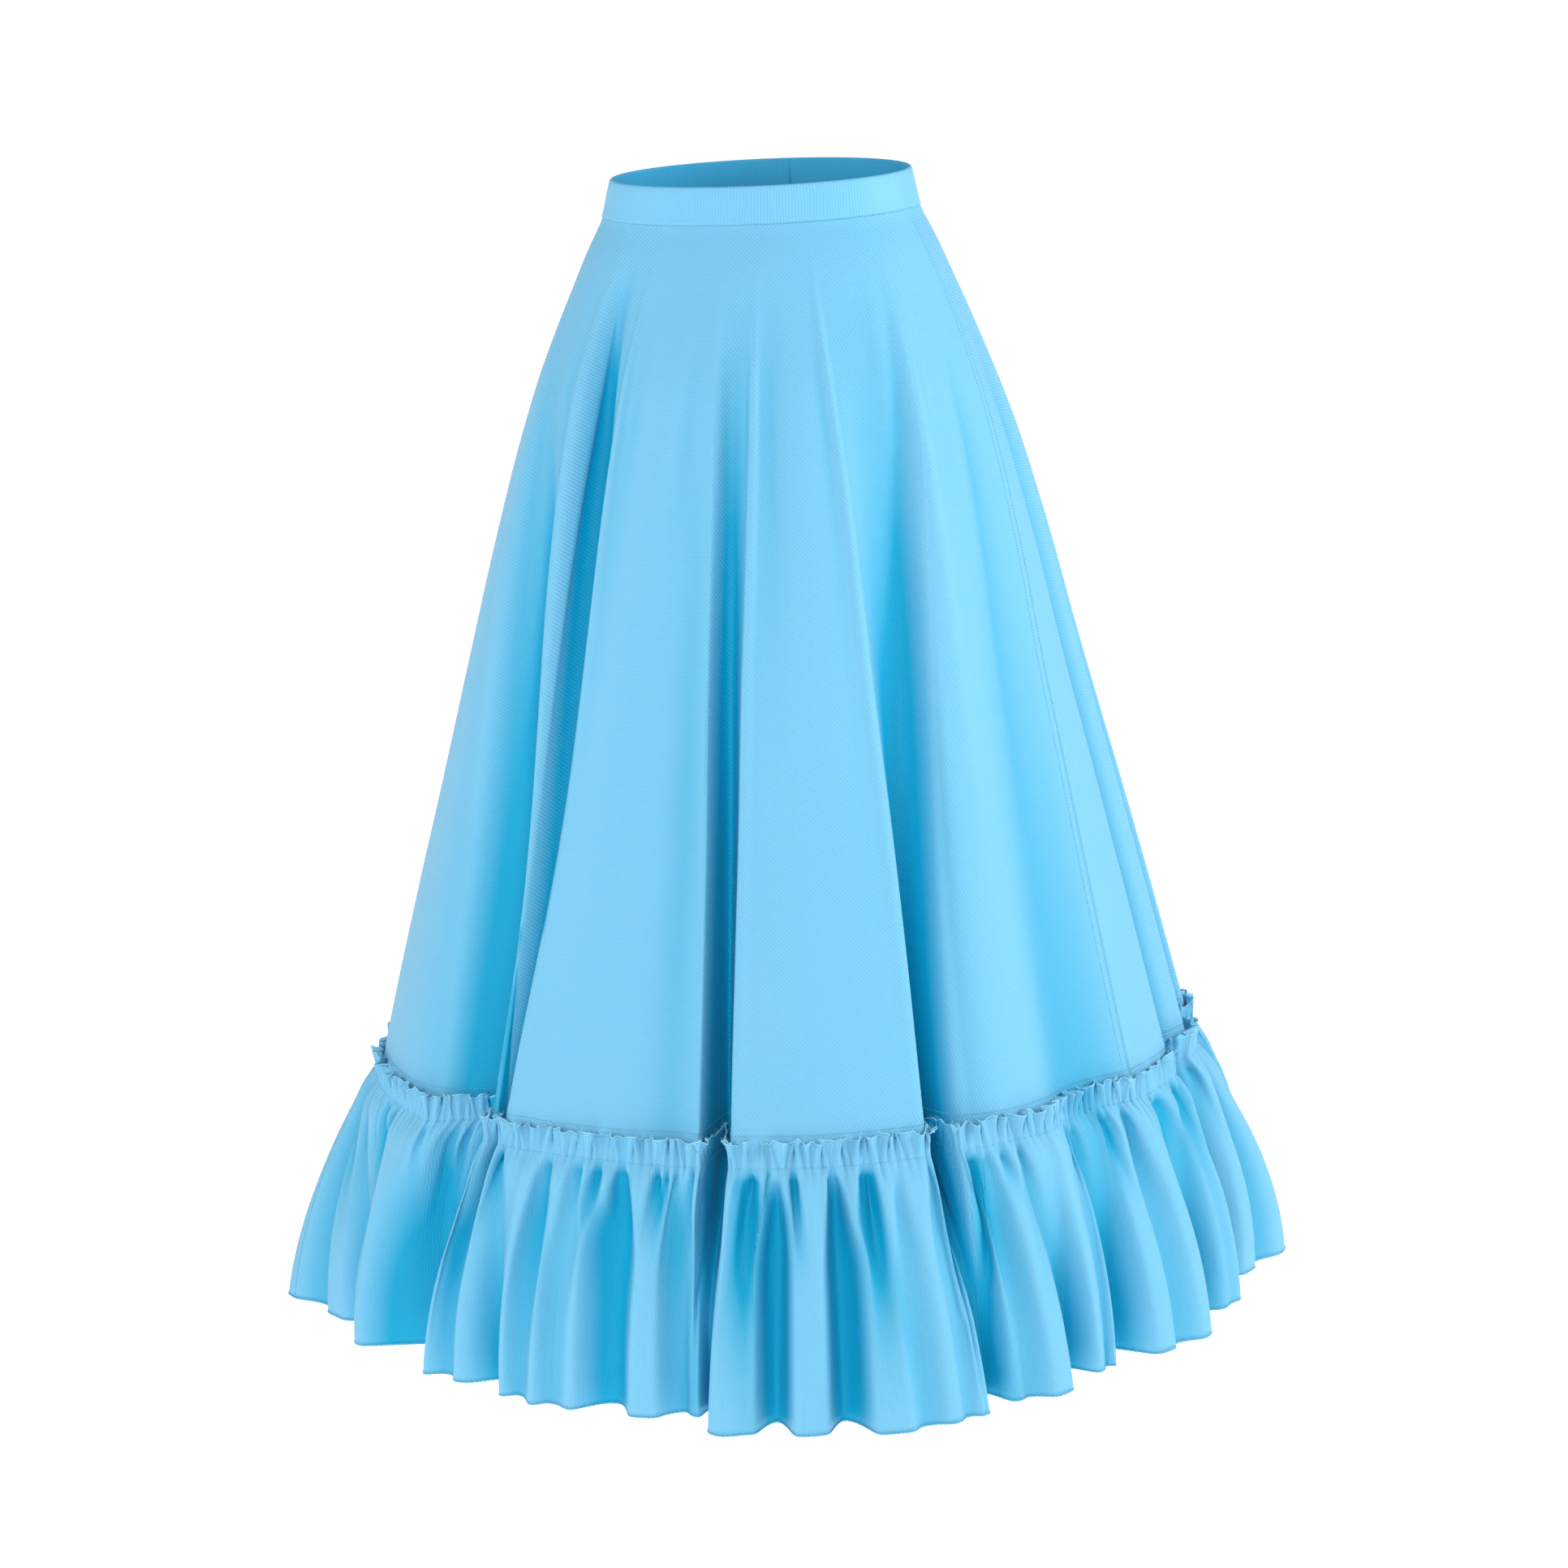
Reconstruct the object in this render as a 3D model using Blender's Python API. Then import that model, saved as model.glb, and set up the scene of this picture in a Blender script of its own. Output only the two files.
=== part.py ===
"""Folk dance skirt: an elastic waistband, a flared front and back panel, and a gathered hem flounce.

The skirt is modelled as it is worn, hanging open from the waist. Metres, +Z up. The origin is the
centre of the waist opening, level with the waistband's upper edge. The front faces -Y and the
wearer's left side faces +X. A bearing is an angle round the skirt in degrees: 0 is the front
centre, +90 the wearer's left side and 180 the back centre.
"""

import bpy
import numpy as np

# Heights, as distances below the waistband's upper edge
BAND_HEIGHT = 0.031
WAIST_TILT = 0.006
TILT_GONE_BY = 0.30
SEAM_DROP = 0.755
HEM_DROP = 0.964
HEADING_HEIGHT = 0.021

# Cloth
CLOTH = 0.0015
BAND_CLOTH = 0.0032
SEAM_GAP = 0.0003
SIDE_SEAM_BEARINGS = (-73.6, 68.5)

# How the folds deepen down the body, as a power of their run, and where their lips stop turning
FOLDS_DEEPEN = 1.15
FOLD_LIPS_FROM = 0.10

# Gathers of the flounce: how far they swing in and out at each share of the flounce's fall
GATHERS_FRONT = 60
GATHERS_BACK = 90
GATHER_SWING = 0.0022
GATHER_SWINGS = ((-1.0, 0.0, 0.07, 0.24), (0.0040, GATHER_SWING, 0.0042, 0.0028))
GATHER_CLEAR = 0.0003
HEADING_LEAN = 0.0055
# How much the gathers differ, and the two waves along the seam by which they do
GATHERS_DIFFER = 0.25
GATHER_WAVES = (1.9, 0.37)
# The limits that keep gathers apart: the swing's share of the step to the next column, the turns
# in radians at which a hollow or a corner flattens them, and the columns kept flat at a side seam
STEEPEST_GATHER = 0.48
HOLLOW_TURN = 0.9
LEAST_IN_HOLLOW = 0.2
CORNER_TURN = 0.3
FLAT_AT_SEAM = 3

# Fall of the flounce: the body's slope that it carries on, how it bulges below the gathers, how
# early its troughs deepen, and the tightest radius at which it goes round the body's folds
BODY_FLARE = 0.24
GATHERS_BULGE = 1.25
FLOUNCE_BULGE = 1.06
TROUGHS_DEEPEN = 3
TIGHTEST_TURN = 0.010

# How finely the cloth is divided: rows of the band and the body as drops below the band's upper
# edge, rows of the flounce as shares of its fall, and how much a bend draws the columns together
BAND_COLUMNS = 64
FRONT_COLUMNS = 88
BACK_COLUMNS = 112
HEM_COLUMNS_FRONT = 104
HEM_COLUMNS_BACK = 142
BAND_ROWS = (0.0, 0.006, 0.025, BAND_HEIGHT - SEAM_GAP)
BODY_ROWS = (BAND_HEIGHT, 0.059, 0.096, 0.146, 0.211, 0.301, 0.431, 0.591, 0.755, 0.762)
FINE_FLOUNCE_ROWS = (-1.0, 0.0, 0.07, 0.24)
HEM_FLOUNCE_ROWS = (0.45, 0.72, 1.0)
BODY_BENDS = 0.022
GATHER_BENDS = 0.004
HEM_BENDS = 0.018
# Points along a line for its lengths, how many of them a bend is felt over, and the least room
# in degrees beside a column that is moved onto a fold's lip
LINE_POINTS = 6000
BEND_REACH = 55
PIN_ROOM = 0.2
# Steps in a degree of a round outline, and points of the cloth for each step
CIRCLE_STEPS = 20
POINTS_PER_STEP = 16
# Degrees to the helping column past a side seam, and how much a corner lengthens the thickness
PAST_SEAM = 0.8
LONGEST_MITRE = 1.5
SHARP_EDGE = 50

SKY_BLUE = (0.17, 0.56, 0.87, 1.0)
SATIN_ROUGHNESS = 0.6

# Drops at which the fold table gives the folds' bearings
FOLD_DROPS = (0.20, 0.40, 0.755)

# The envelope of the skirt: drop below the waist, half width, half depth, shift of the centre in X
RINGS = (
    (0.000, 0.1262, 0.0960, 0.0000),
    (0.031, 0.1338, 0.1030, -0.0010),
    (0.060, 0.1480, 0.1175, -0.0015),
    (0.090, 0.1613, 0.1310, -0.0020),
    (0.120, 0.1745, 0.1445, -0.0025),
    (0.160, 0.1912, 0.1620, -0.0028),
    (0.200, 0.2055, 0.1765, -0.0030),
    (0.300, 0.2356, 0.2110, -0.0040),
    (0.400, 0.2620, 0.2430, -0.0056),
    (0.500, 0.2888, 0.2735, -0.0063),
    (0.600, 0.3156, 0.3045, -0.0077),
    (0.700, 0.3411, 0.3350, -0.0089),
    (0.770, 0.3580, 0.3560, -0.0090),
)

# One row for each hanging fold, a trough between two panels. First its left lip, bottom and right
# lip as bearings 0.20 m, 0.40 m and 0.755 m below the waist. Then the drop where it starts, its
# depth at the flounce seam, the lean of its bottom in degrees, how crisp its left and right lips
# are from 0 to 1, and how far the panel to its right stands out at the seam
FOLDS = (
    ((-66, -54, -39), (-56, -42, -33), (-46, -34.5, -29.6), 0.09, 0.05, 1.0, 0.1, 0.9, -0.002),
    ((-35, -28.8, -24), (-31, -26.3, -23.9), (-29.4, -28.0, -27), 0.04, 0.03, 1.2, 0.3, 1, -0.006),
    ((-1, 5, 9.2), (0.2, 4.9, 8.3), (0.6, 4.2, 7.2), 0.08, 0.062, 0.6, 0.0, 1, 0.003),
    ((29.5, 43, 50), (31.3, 38, 43.5), (32.8, 34.6, 38.6), 0.07, 0.058, -0.9, 1, 0.0, 0.0),
    ((55, 68, 77.5), (52, 62.5, 72), (50, 60, 68.5), 0.08, 0.016, 0.0, 0.0, 0.9, 0.0),
    ((82.5, 87, 94), (81.2, 85, 91), (80.8, 83.6, 89.5), 0.09, 0.036, -0.9, 1, 0.1, 0.0),
    ((98, 104, 110), (97, 102, 107), (96.5, 101, 106), 0.12, 0.034, 0.5, 0.0, 0.7, 0.0),
    ((116, 124, 130), (117, 123, 128.5), (117.5, 122, 126.6), 0.06, 0.06, -0.6, 0.9, 0.1, -0.004),
    ((136, 143, 148), (137, 142, 147), (137.5, 142, 146), 0.13, 0.03, 0.8, 0.0, 0.8, -0.01),
    ((152, 158, 164), (153, 158, 163), (153.6, 158, 162.6), 0.07, 0.058, 0.9, 0.1, 0.8, -0.012),
    ((171, 177, 182), (172, 176.5, 181), (172.4, 176.4, 180.4), 0.11, 0.04, -0.9, 0.9, 0.0, -0.01),
    ((188, 194, 201), (188.5, 193.5, 199), (189, 193.4, 198), 0.06, 0.062, 0.8, 0.0, 0.9, -0.006),
    ((209, 215, 221), (209, 214, 219), (209.4, 214, 218.6), 0.12, 0.036, -0.7, 0.8, 0.1, -0.006),
    ((225, 232, 239), (226, 231.5, 237.4), (226.6, 231.4, 236), 0.07, 0.057, -0.8, 0.9, 0.1, 0.0),
    ((244, 250, 256), (244.4, 249.4, 254.4), (245, 249.4, 253.8), 0.14, 0.03, 0.7, 0.0, 0.8, 0.0),
    ((259, 265, 272), (260, 265, 271), (261, 265.6, 270.4), 0.09, 0.05, 0.8, 0.1, 0.9, 0.0),
    ((275, 280.5, 285.5), (277, 281.5, 286.4), (278, 282, 286.4), 0.13, 0.022, 0.0, 0.3, 0.0, 0.0),
)

# How far the hem reaches from the axis: bearing and distance
HEM_REACH = (
    (-75.0, 0.460), (-68.3, 0.425), (-60.8, 0.402), (-55.5, 0.408), (-41.0, 0.387), (-35.0, 0.373),
    (-28.3, 0.373), (-23.3, 0.374), (-15.0, 0.349), (-8.6, 0.361), (-4.5, 0.346), (0.4, 0.353),
    (2.5, 0.380), (6.0, 0.385), (10.4, 0.367), (14.9, 0.390), (20.1, 0.371), (25.5, 0.398),
    (32.0, 0.390), (36.9, 0.383), (40.5, 0.370), (46.0, 0.381), (50.0, 0.376), (56.0, 0.363),
    (60.0, 0.364), (66.5, 0.378), (73.5, 0.390), (81.0, 0.376), (86.6, 0.391), (96.0, 0.384),
    (104.7, 0.422), (117.0, 0.418), (130.0, 0.410), (142.0, 0.404), (155.0, 0.398), (166.0, 0.394),
    (179.0, 0.396), (190.0, 0.396), (203.0, 0.402), (216.0, 0.410), (228.0, 0.418), (241.0, 0.428),
    (253.0, 0.438), (266.0, 0.450), (279.0, 0.458),
)

# One row for each trough between two ruffle waves of the flounce: its left lip, bottom and right
# lip as bearings at the hem, its bottom's bearing at the gathers, its depth at the hem, and how
# crisp its left and right lips are from 0 to 1
RUFFLE_TROUGHS = (
    ((-60.8, -58.8, -56.3), -61.0, 0.038, 0.2, 1.0),
    ((-55.0, -46.5, -41.1), -35.5, 0.060, 0.0, 1.0),
    ((-34.6, -30.4, -28.2), -25.0, 0.024, 0.0, 1.0),
    ((0.0, 1.4, 2.4), 4.2, 0.032, 0.4, 1.0),
    ((36.7, 38.0, 41.0), 34.6, 0.036, 1.0, 0.0),
    ((49.2, 51.8, 55.4), 46.5, 0.040, 1.0, 0.0),
    ((58.6, 61.7, 64.8), 58.0, 0.044, 1.0, 0.3),
    ((75.0, 79.0, 82.8), 72.8, 0.038, 1.0, 0.1),
    ((87.2, 91.6, 96.4), 83.6, 0.042, 0.9, 0.1),
    ((106.5, 111.0, 115.5), 101.0, 0.050, 0.7, 0.2),
    ((119.6, 124.0, 128.4), 122.0, 0.042, 0.2, 0.6),
    ((131.5, 136.0, 140.6), 134.0, 0.050, 0.6, 0.2),
    ((145.0, 149.4, 153.6), 147.0, 0.046, 0.1, 0.8),
    ((157.0, 160.5, 164.4), 158.0, 0.024, 0.1, 0.1),
    ((168.4, 173.0, 177.8), 175.6, 0.050, 0.8, 0.1),
    ((181.0, 184.5, 188.4), 184.8, 0.026, 0.1, 0.3),
    ((191.8, 196.5, 201.4), 194.6, 0.050, 0.2, 0.8),
    ((205.0, 209.0, 213.4), 209.0, 0.044, 0.4, 0.2),
    ((218.8, 222.5, 226.4), 219.6, 0.028, 0.1, 0.1),
    ((229.6, 234.5, 239.6), 231.4, 0.052, 0.8, 0.1),
    ((243.2, 247.5, 251.8), 246.0, 0.044, 0.2, 0.6),
    ((255.0, 259.5, 264.4), 262.0, 0.048, 0.2, 0.8),
    ((269.4, 274.5, 279.6), 275.0, 0.050, 0.3, 0.3),
)


def along_table(places, values, at, period=None):
    """Reads a smooth curve, a cubic with mean slopes at its knots, through a table of values."""
    places = np.asarray(places, float)
    values = np.asarray(values, float)
    if period:
        places = np.concatenate([places - period, places, places + period])
        values = np.tile(values, 3)
        at = (np.asarray(at, float) - places[len(values) // 3]) % period + places[len(values) // 3]
    slopes = np.gradient(values, places)
    at = np.clip(np.asarray(at, float), places[0], places[-1])
    left = np.clip(np.searchsorted(places, at, side="right") - 1, 0, len(places) - 2)
    span = places[left + 1] - places[left]
    s = (at - places[left]) / span
    return (
        (1 + 2 * s) * (1 - s) ** 2 * values[left]
        + s * (1 - s) ** 2 * span * slopes[left]
        + s**2 * (3 - 2 * s) * values[left + 1]
        + s**2 * (s - 1) * span * slopes[left + 1]
    )


def ring(drop):
    """Half width, half depth and centre shift of the envelope at a drop below the waist."""
    table = np.array(RINGS)
    return [along_table(table[:, 0], table[:, column], drop) for column in (1, 2, 3)]


def turned(bearing, centre):
    """The bearing as measured from a centre, from -180 to 180 degrees."""
    return (bearing - centre + 180.0) % 360.0 - 180.0


def flank(share, crisp):
    """A trough's depth at a share of the way from its bottom, 0, to its lip, 1."""
    soft = (1 - share**3) ** 2
    sharp = 1 - share**2
    return soft + (sharp - soft) * crisp


def trough(bearing, left_lip, bottom, right_lip, left_crisp=0.0, right_crisp=0.0):
    """A trough's share of its depth: 1 at its bottom and 0 past its lips."""
    away = turned(bearing, bottom)
    left = np.clip(-away / (bottom - left_lip), 0, 1)
    right = np.clip(away / (right_lip - bottom), 0, 1)
    return np.where(away < 0, flank(left, left_crisp), flank(right, right_crisp))


def smooth_step(x):
    """0 below 0, 1 above 1 and a smooth rise between."""
    x = np.clip(x, 0, 1)
    return x * x * (3 - 2 * x)


def lips_at(fold, drop):
    """Left lip, bottom and right lip of a fold, as bearings at a drop below the waist."""
    above, middle, seam = (np.array(lips, float) for lips in fold[:3])
    drops = np.array(FOLD_DROPS)
    here = np.clip(drop, FOLD_LIPS_FROM, None)
    first = (middle - above) / (drops[1] - drops[0])
    second = (seam - middle) / (drops[2] - drops[1])
    bend = (second - first) / (drops[2] - drops[0])
    return above + first * (here - drops[0]) + bend * (here - drops[0]) * (here - drops[1])


def followed(column, lips_there, lips_here):
    """Where a column of the cloth is here, when its bearing is known there.

    Columns keep their place between the lips and bottoms of the folds, so they run down the folds.
    """
    there = np.concatenate(lips_there)
    here = np.concatenate(lips_here)
    there = np.concatenate([there - 360, there, there + 360])
    here = np.concatenate([here - 360, here, here + 360])
    return np.interp(column, there, here)


def carried(column, drop):
    """The bearing at a drop of a column of the body, which is known by its bearing at the seam."""
    at_seam = [lips_at(fold, SEAM_DROP) for fold in FOLDS]
    return followed(column, at_seam, [lips_at(fold, drop) for fold in FOLDS])


def ruffle_lips(share):
    """Left lip, bottom and right lip of each of the flounce's troughs, at a share of its fall."""
    share = max(share, 0.0)
    return [
        np.array(lips) + (at_gathers - lips[1]) * (1 - share)
        for lips, at_gathers, _, _, _ in RUFFLE_TROUGHS
    ]


def body_folds(bearing, drop):
    """How far the folds draw the cloth in, and how many degrees their bottoms lean."""
    inward = np.zeros(np.shape(bearing))
    lean = np.zeros_like(inward)
    for fold in FOLDS:
        start, depth, tilt, left_crisp, right_crisp = fold[3:8]
        run = np.clip((drop - start) / (SEAM_DROP - start), 0, 1)
        share = trough(bearing, *lips_at(fold, drop), left_crisp, right_crisp)
        inward = inward + depth * share * run**FOLDS_DEEPEN
        lean = lean + tilt * share * run
    return inward, lean


def panel_stand(bearing, drop):
    """How far each panel between two folds stands out from the envelope."""
    bottoms = np.array([lips_at(fold, drop)[1] for fold in FOLDS])
    middles = (bottoms + np.append(bottoms[1:], bottoms[0] + 360.0)) / 2
    out = [fold[8] for fold in FOLDS]
    return along_table(middles, out, bearing, 360.0) * smooth_step(drop / SEAM_DROP)


def body_line(bearing, drop):
    """Points X, Y of the body's middle surface at a bearing and a drop."""
    half_width, half_depth, shift = ring(drop)
    inward, lean = body_folds(bearing, drop)
    out = panel_stand(bearing, drop) - inward
    angle = np.radians(bearing + lean)
    return shift + (half_width + out) * np.sin(angle), -(half_depth + out) * np.cos(angle)


def tilted(bearing, drop):
    """Height of a point: the waist dips in front and rises behind, and the seam is level."""
    fade = 1 - smooth_step(drop / TILT_GONE_BY)
    return -drop - WAIST_TILT * np.cos(np.radians(bearing)) * fade


def round_outline(x, y):
    """Greatest distance from the axis of a line of points, at each bearing of an even circle."""
    size = 360 * CIRCLE_STEPS
    place = np.degrees(np.arctan2(x, -y)) * CIRCLE_STEPS
    reach = np.zeros(size)
    np.maximum.at(reach, np.round(place).astype(int) % size, np.hypot(x, y))
    return reach


def thickened(reach, distance):
    """A round outline moved out by a distance, or in where it is negative.

    It is the outermost, or innermost, of the circles of that radius about the outline's points.
    """
    size = len(reach)
    most = int(np.ceil(abs(distance) / reach.min() * size / (2 * np.pi)))
    moved = reach + distance
    for shift in range(-most, most + 1):
        beside = np.roll(reach, shift)
        angle = 2 * np.pi * shift / size
        across = distance**2 - (beside * np.sin(angle)) ** 2
        edge = beside * np.cos(angle) + np.sign(distance) * np.sqrt(np.maximum(across, 0))
        if distance > 0:
            moved = np.where(across > 0, np.maximum(moved, edge), moved)
        else:
            moved = np.where(across > 0, np.minimum(moved, edge), moved)
    return moved


def flounce_seat(share):
    """Distance from the axis, round a circle, of the flounce's gathers or heading on the body.

    It follows the body at a stand-off, and bridges the folds that are too narrow for it.
    """
    drop = SEAM_DROP + HEADING_HEIGHT * min(share, 0.0)
    left, right = SIDE_SEAM_BEARINGS
    front = panel_columns(left, right, FRONT_COLUMNS)
    back = panel_columns(right, left + 360.0, BACK_COLUMNS)
    corners = body_line(carried(np.append(front, back[1:]), drop), drop)
    places = np.linspace(0, len(front) + len(back) - 2, 360 * CIRCLE_STEPS * POINTS_PER_STEP)
    x, y = (np.interp(places, np.arange(len(line)), line) for line in corners)
    stand = CLOTH + SEAM_GAP + GATHER_SWING + GATHER_CLEAR + HEADING_LEAN * np.clip(-share, 0, 1)
    bridged = thickened(round_outline(x, y), stand + TIGHTEST_TURN)
    return thickened(bridged, -TIGHTEST_TURN)


def flounce_line(bearing, share, seat):
    """Points X, Y of the flounce's middle surface.

    The share is -1 at the heading's edge, 0 at the gathers and 1 at the hem.
    """
    circle = np.arange(-len(seat), 2 * len(seat)) / CIRCLE_STEPS
    at_top = followed(bearing, ruffle_lips(share), ruffle_lips(0.0))
    top = np.interp(at_top, circle, np.tile(seat, 3))
    flat = np.radians(bearing)
    if share <= 0:
        return top * np.sin(flat), -top * np.cos(flat)
    reach_table = np.array(HEM_REACH)
    at_hem = followed(bearing, ruffle_lips(share), ruffle_lips(1.0))
    reach = along_table(reach_table[:, 0], reach_table[:, 1], at_hem, 360.0)
    deepened = 1 - (1 - share) ** TROUGHS_DEEPEN
    for lips, row in zip(ruffle_lips(share), RUFFLE_TROUGHS):
        depth, left_crisp, right_crisp = row[2:]
        reach = reach - depth * deepened * trough(bearing, *lips, left_crisp, right_crisp)
    ease = 1 - (1 - share) ** FLOUNCE_BULGE
    top = top + BODY_FLARE * (HEM_DROP - SEAM_DROP) * share
    reach = top + (reach - top) * ease
    return reach * np.sin(flat), -reach * np.cos(flat)


def outward(x, y):
    """Level normals of a line of points that runs with rising bearing.

    Each points out along the bisector of its corner, and is longer at a sharper one.
    """
    along_x = np.diff(x)
    along_y = np.diff(y)
    size = np.hypot(along_x, along_y)
    out_x = along_y / size
    out_y = -along_x / size
    mean_x = np.concatenate([out_x[:1], (out_x[1:] + out_x[:-1]) / 2, out_x[-1:]])
    mean_y = np.concatenate([out_y[:1], (out_y[1:] + out_y[:-1]) / 2, out_y[-1:]])
    size = np.hypot(mean_x, mean_y)
    longer = np.minimum(1 / size, LONGEST_MITRE)
    return mean_x / size * longer, mean_y / size * longer


def even_bearings(line, low, high, count, bend_weight, pins):
    """Bearings that divide a line into even lengths, closer together where it bends tightly.

    The nearest bearing to each pin is moved onto it, so that folds keep their edges. Next to a
    side seam they are as far apart as on the seam's other side, so that the two pieces match.
    """
    fine = np.linspace(low, high, LINE_POINTS)
    x, y = line(fine)
    step = np.hypot(np.diff(x), np.diff(y))
    heading = np.unwrap(np.arctan2(np.diff(y), np.diff(x)))
    near = np.ones(BEND_REACH) / BEND_REACH
    turn = np.convolve(np.abs(np.gradient(heading)), near, mode="same")
    travelled = np.concatenate([[0.0], np.cumsum(step + bend_weight * turn)])
    found = np.interp(np.linspace(0, travelled[-1], count + 1), travelled, fine)
    for pin in pins:
        pin = pin + 360.0 if pin < low - 1 else pin
        nearest = np.argmin(np.abs(found[1:-1] - pin)) + 1
        if found[nearest - 1] + PIN_ROOM < pin < found[nearest + 1] - PIN_ROOM:
            found[nearest] = pin
    found[1] = low + PAST_SEAM
    found[-2] = high - PAST_SEAM
    return found


def wall(name, rows, normals, matches, thickness, closed):
    """Adds one cloth piece: a wall of the given thickness round its rows of middle points.

    Each row is an array of points from low to high bearing, and may have its own number of them.
    matches holds each row's bearings, by which a row is joined to the next.
    """
    points = []
    faces = []
    outer = []
    inner = []
    count = 0
    for row, normal in zip(rows, normals):
        for side, store in ((0.5, outer), (-0.5, inner)):
            store.append(np.arange(count, count + len(row)))
            points.append(row + normal * thickness * side)
            count += len(row)
    for upper in range(len(rows) - 1):
        lower = upper + 1
        strip = joined(rows[upper], rows[lower], matches[upper], matches[lower], closed)
        sizes = (len(rows[upper]), len(rows[lower]))
        for store, turned_round in ((outer, False), (inner, True)):
            faces += numbered(strip, store[upper], store[lower], sizes, turned_round)
    rim = joined(rows[0], rows[0], matches[0], matches[0], closed)
    faces += numbered(rim, inner[0], outer[0], (len(rows[0]),) * 2, False)
    rim = joined(rows[-1], rows[-1], matches[-1], matches[-1], closed)
    faces += numbered(rim, outer[-1], inner[-1], (len(rows[-1]),) * 2, False)
    if not closed:
        for upper in range(len(rows) - 1):
            lower = upper + 1
            faces.append((outer[upper][0], inner[upper][0], inner[lower][0], outer[lower][0]))
            faces.append((outer[upper][-1], outer[lower][-1], inner[lower][-1], inner[upper][-1]))
    mesh = bpy.data.meshes.new(name)
    mesh.from_pydata(np.concatenate(points).tolist(), [], [tuple(map(int, f)) for f in faces])
    mesh.materials.append(cloth_material(name))
    mesh.shade_smooth()
    mesh.set_sharp_from_angle(angle=np.radians(SHARP_EDGE))
    piece = bpy.data.objects.new(name, mesh)
    bpy.context.scene.collection.objects.link(piece)
    return piece


def joined(upper, lower, upper_at, lower_at, closed):
    """Triangles between two rows, as pairs of a side, 0 above or 1 below, and a place in the row.

    Rows of one size are joined place by place, across the shorter diagonal. Others are joined in
    the order of their bearings. A place one past a closed row's last is its first.
    """
    above = len(upper) - (0 if closed else 1)
    below = len(lower) - (0 if closed else 1)
    triangles = []
    if len(upper) == len(lower):
        for k in range(above):
            after = (k + 1) % len(upper)
            falling = np.linalg.norm(upper[k] - lower[after])
            rising = np.linalg.norm(upper[after] - lower[k])
            if falling <= rising:
                triangles.append(((0, k), (1, k), (1, k + 1)))
                triangles.append(((0, k), (1, k + 1), (0, k + 1)))
            else:
                triangles.append(((0, k), (1, k), (0, k + 1)))
                triangles.append(((1, k), (1, k + 1), (0, k + 1)))
        return triangles
    i = j = 0
    while i < above or j < below:
        if j == below or (i < above and upper_at[i + 1] <= lower_at[j + 1]):
            triangles.append(((0, i), (1, j), (0, i + 1)))
            i += 1
        else:
            triangles.append(((0, i), (1, j), (1, j + 1)))
            j += 1
    return triangles


def numbered(triangles, upper, lower, sizes, turned_round):
    """The triangles as numbers of points, facing the other way where turned round."""
    store = (upper, lower)
    faces = [tuple(store[side][at % sizes[side]] for side, at in three) for three in triangles]
    return [face[::-1] for face in faces] if turned_round else faces


def cloth_material(name):
    """The piece's own plain material in the cloth's colour."""
    material = bpy.data.materials.new(name + "_cloth")
    material.use_nodes = True
    shader = material.node_tree.nodes["Principled BSDF"]
    shader.inputs["Base Color"].default_value = SKY_BLUE
    shader.inputs["Roughness"].default_value = SATIN_ROUGHNESS
    shader.inputs["Metallic"].default_value = 0.0
    return material


def waistband():
    """The elastic band, a closed loop that leans with the waist."""
    bearings = np.linspace(-180, 180, BAND_COLUMNS, endpoint=False)
    angle = np.radians(bearings)
    rows = []
    normals = []
    for drop in BAND_ROWS:
        half_width, half_depth, shift = ring(drop)
        x = shift + half_width * np.sin(angle)
        y = -half_depth * np.cos(angle)
        rows.append(np.stack([x, y, tilted(bearings, drop)], axis=1))
        out_x = half_depth * np.sin(angle)
        out_y = -half_width * np.cos(angle)
        size = np.hypot(out_x, out_y)
        normals.append(np.stack([out_x / size, out_y / size, np.zeros_like(x)], axis=1))
    wall("waistband", rows, normals, [bearings] * len(rows), BAND_CLOTH, True)


def panel_columns(low, high, count):
    """The body's columns: even along the flounce seam, closer at the folds' tight bends."""

    def seam(at):
        return body_line(at, SEAM_DROP)

    pins = [at for fold in FOLDS for at in lips_at(fold, SEAM_DROP)]
    return even_bearings(seam, low, high, count, BODY_BENDS, pins)


def with_neighbours(columns):
    """The columns of a piece, and one more past each of its side seams."""
    return np.concatenate([[columns[0] - PAST_SEAM], columns, [columns[-1] + PAST_SEAM]])


def cloth_row(x, y, height):
    """A row's points and level normals, from points that go one past each side seam.

    The end columns are drawn in along the cloth, to leave the seam's gap.
    """
    normal_x, normal_y = outward(x, y)
    row = np.stack([x, y, height], axis=1)[1:-1]
    normal = np.stack([normal_x, normal_y, np.zeros_like(x)], axis=1)[1:-1]
    for end, inner in ((0, 1), (-1, -2)):
        along = row[inner] - row[end]
        row[end] += along / np.linalg.norm(along) * SEAM_GAP / 2
    return row, normal


def body_panel(name, low, high, count):
    """A front or back panel of the body, from the waistband to just under the gathers."""
    columns = with_neighbours(panel_columns(low, high, count))
    made = []
    for drop in BODY_ROWS:
        bearings = carried(columns, drop)
        x, y = body_line(bearings, drop)
        made.append(cloth_row(x, y, tilted(bearings, drop)))
    rows, normals = zip(*made)
    wall(name, rows, normals, [columns[1:-1]] * len(rows), CLOTH, False)


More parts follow.
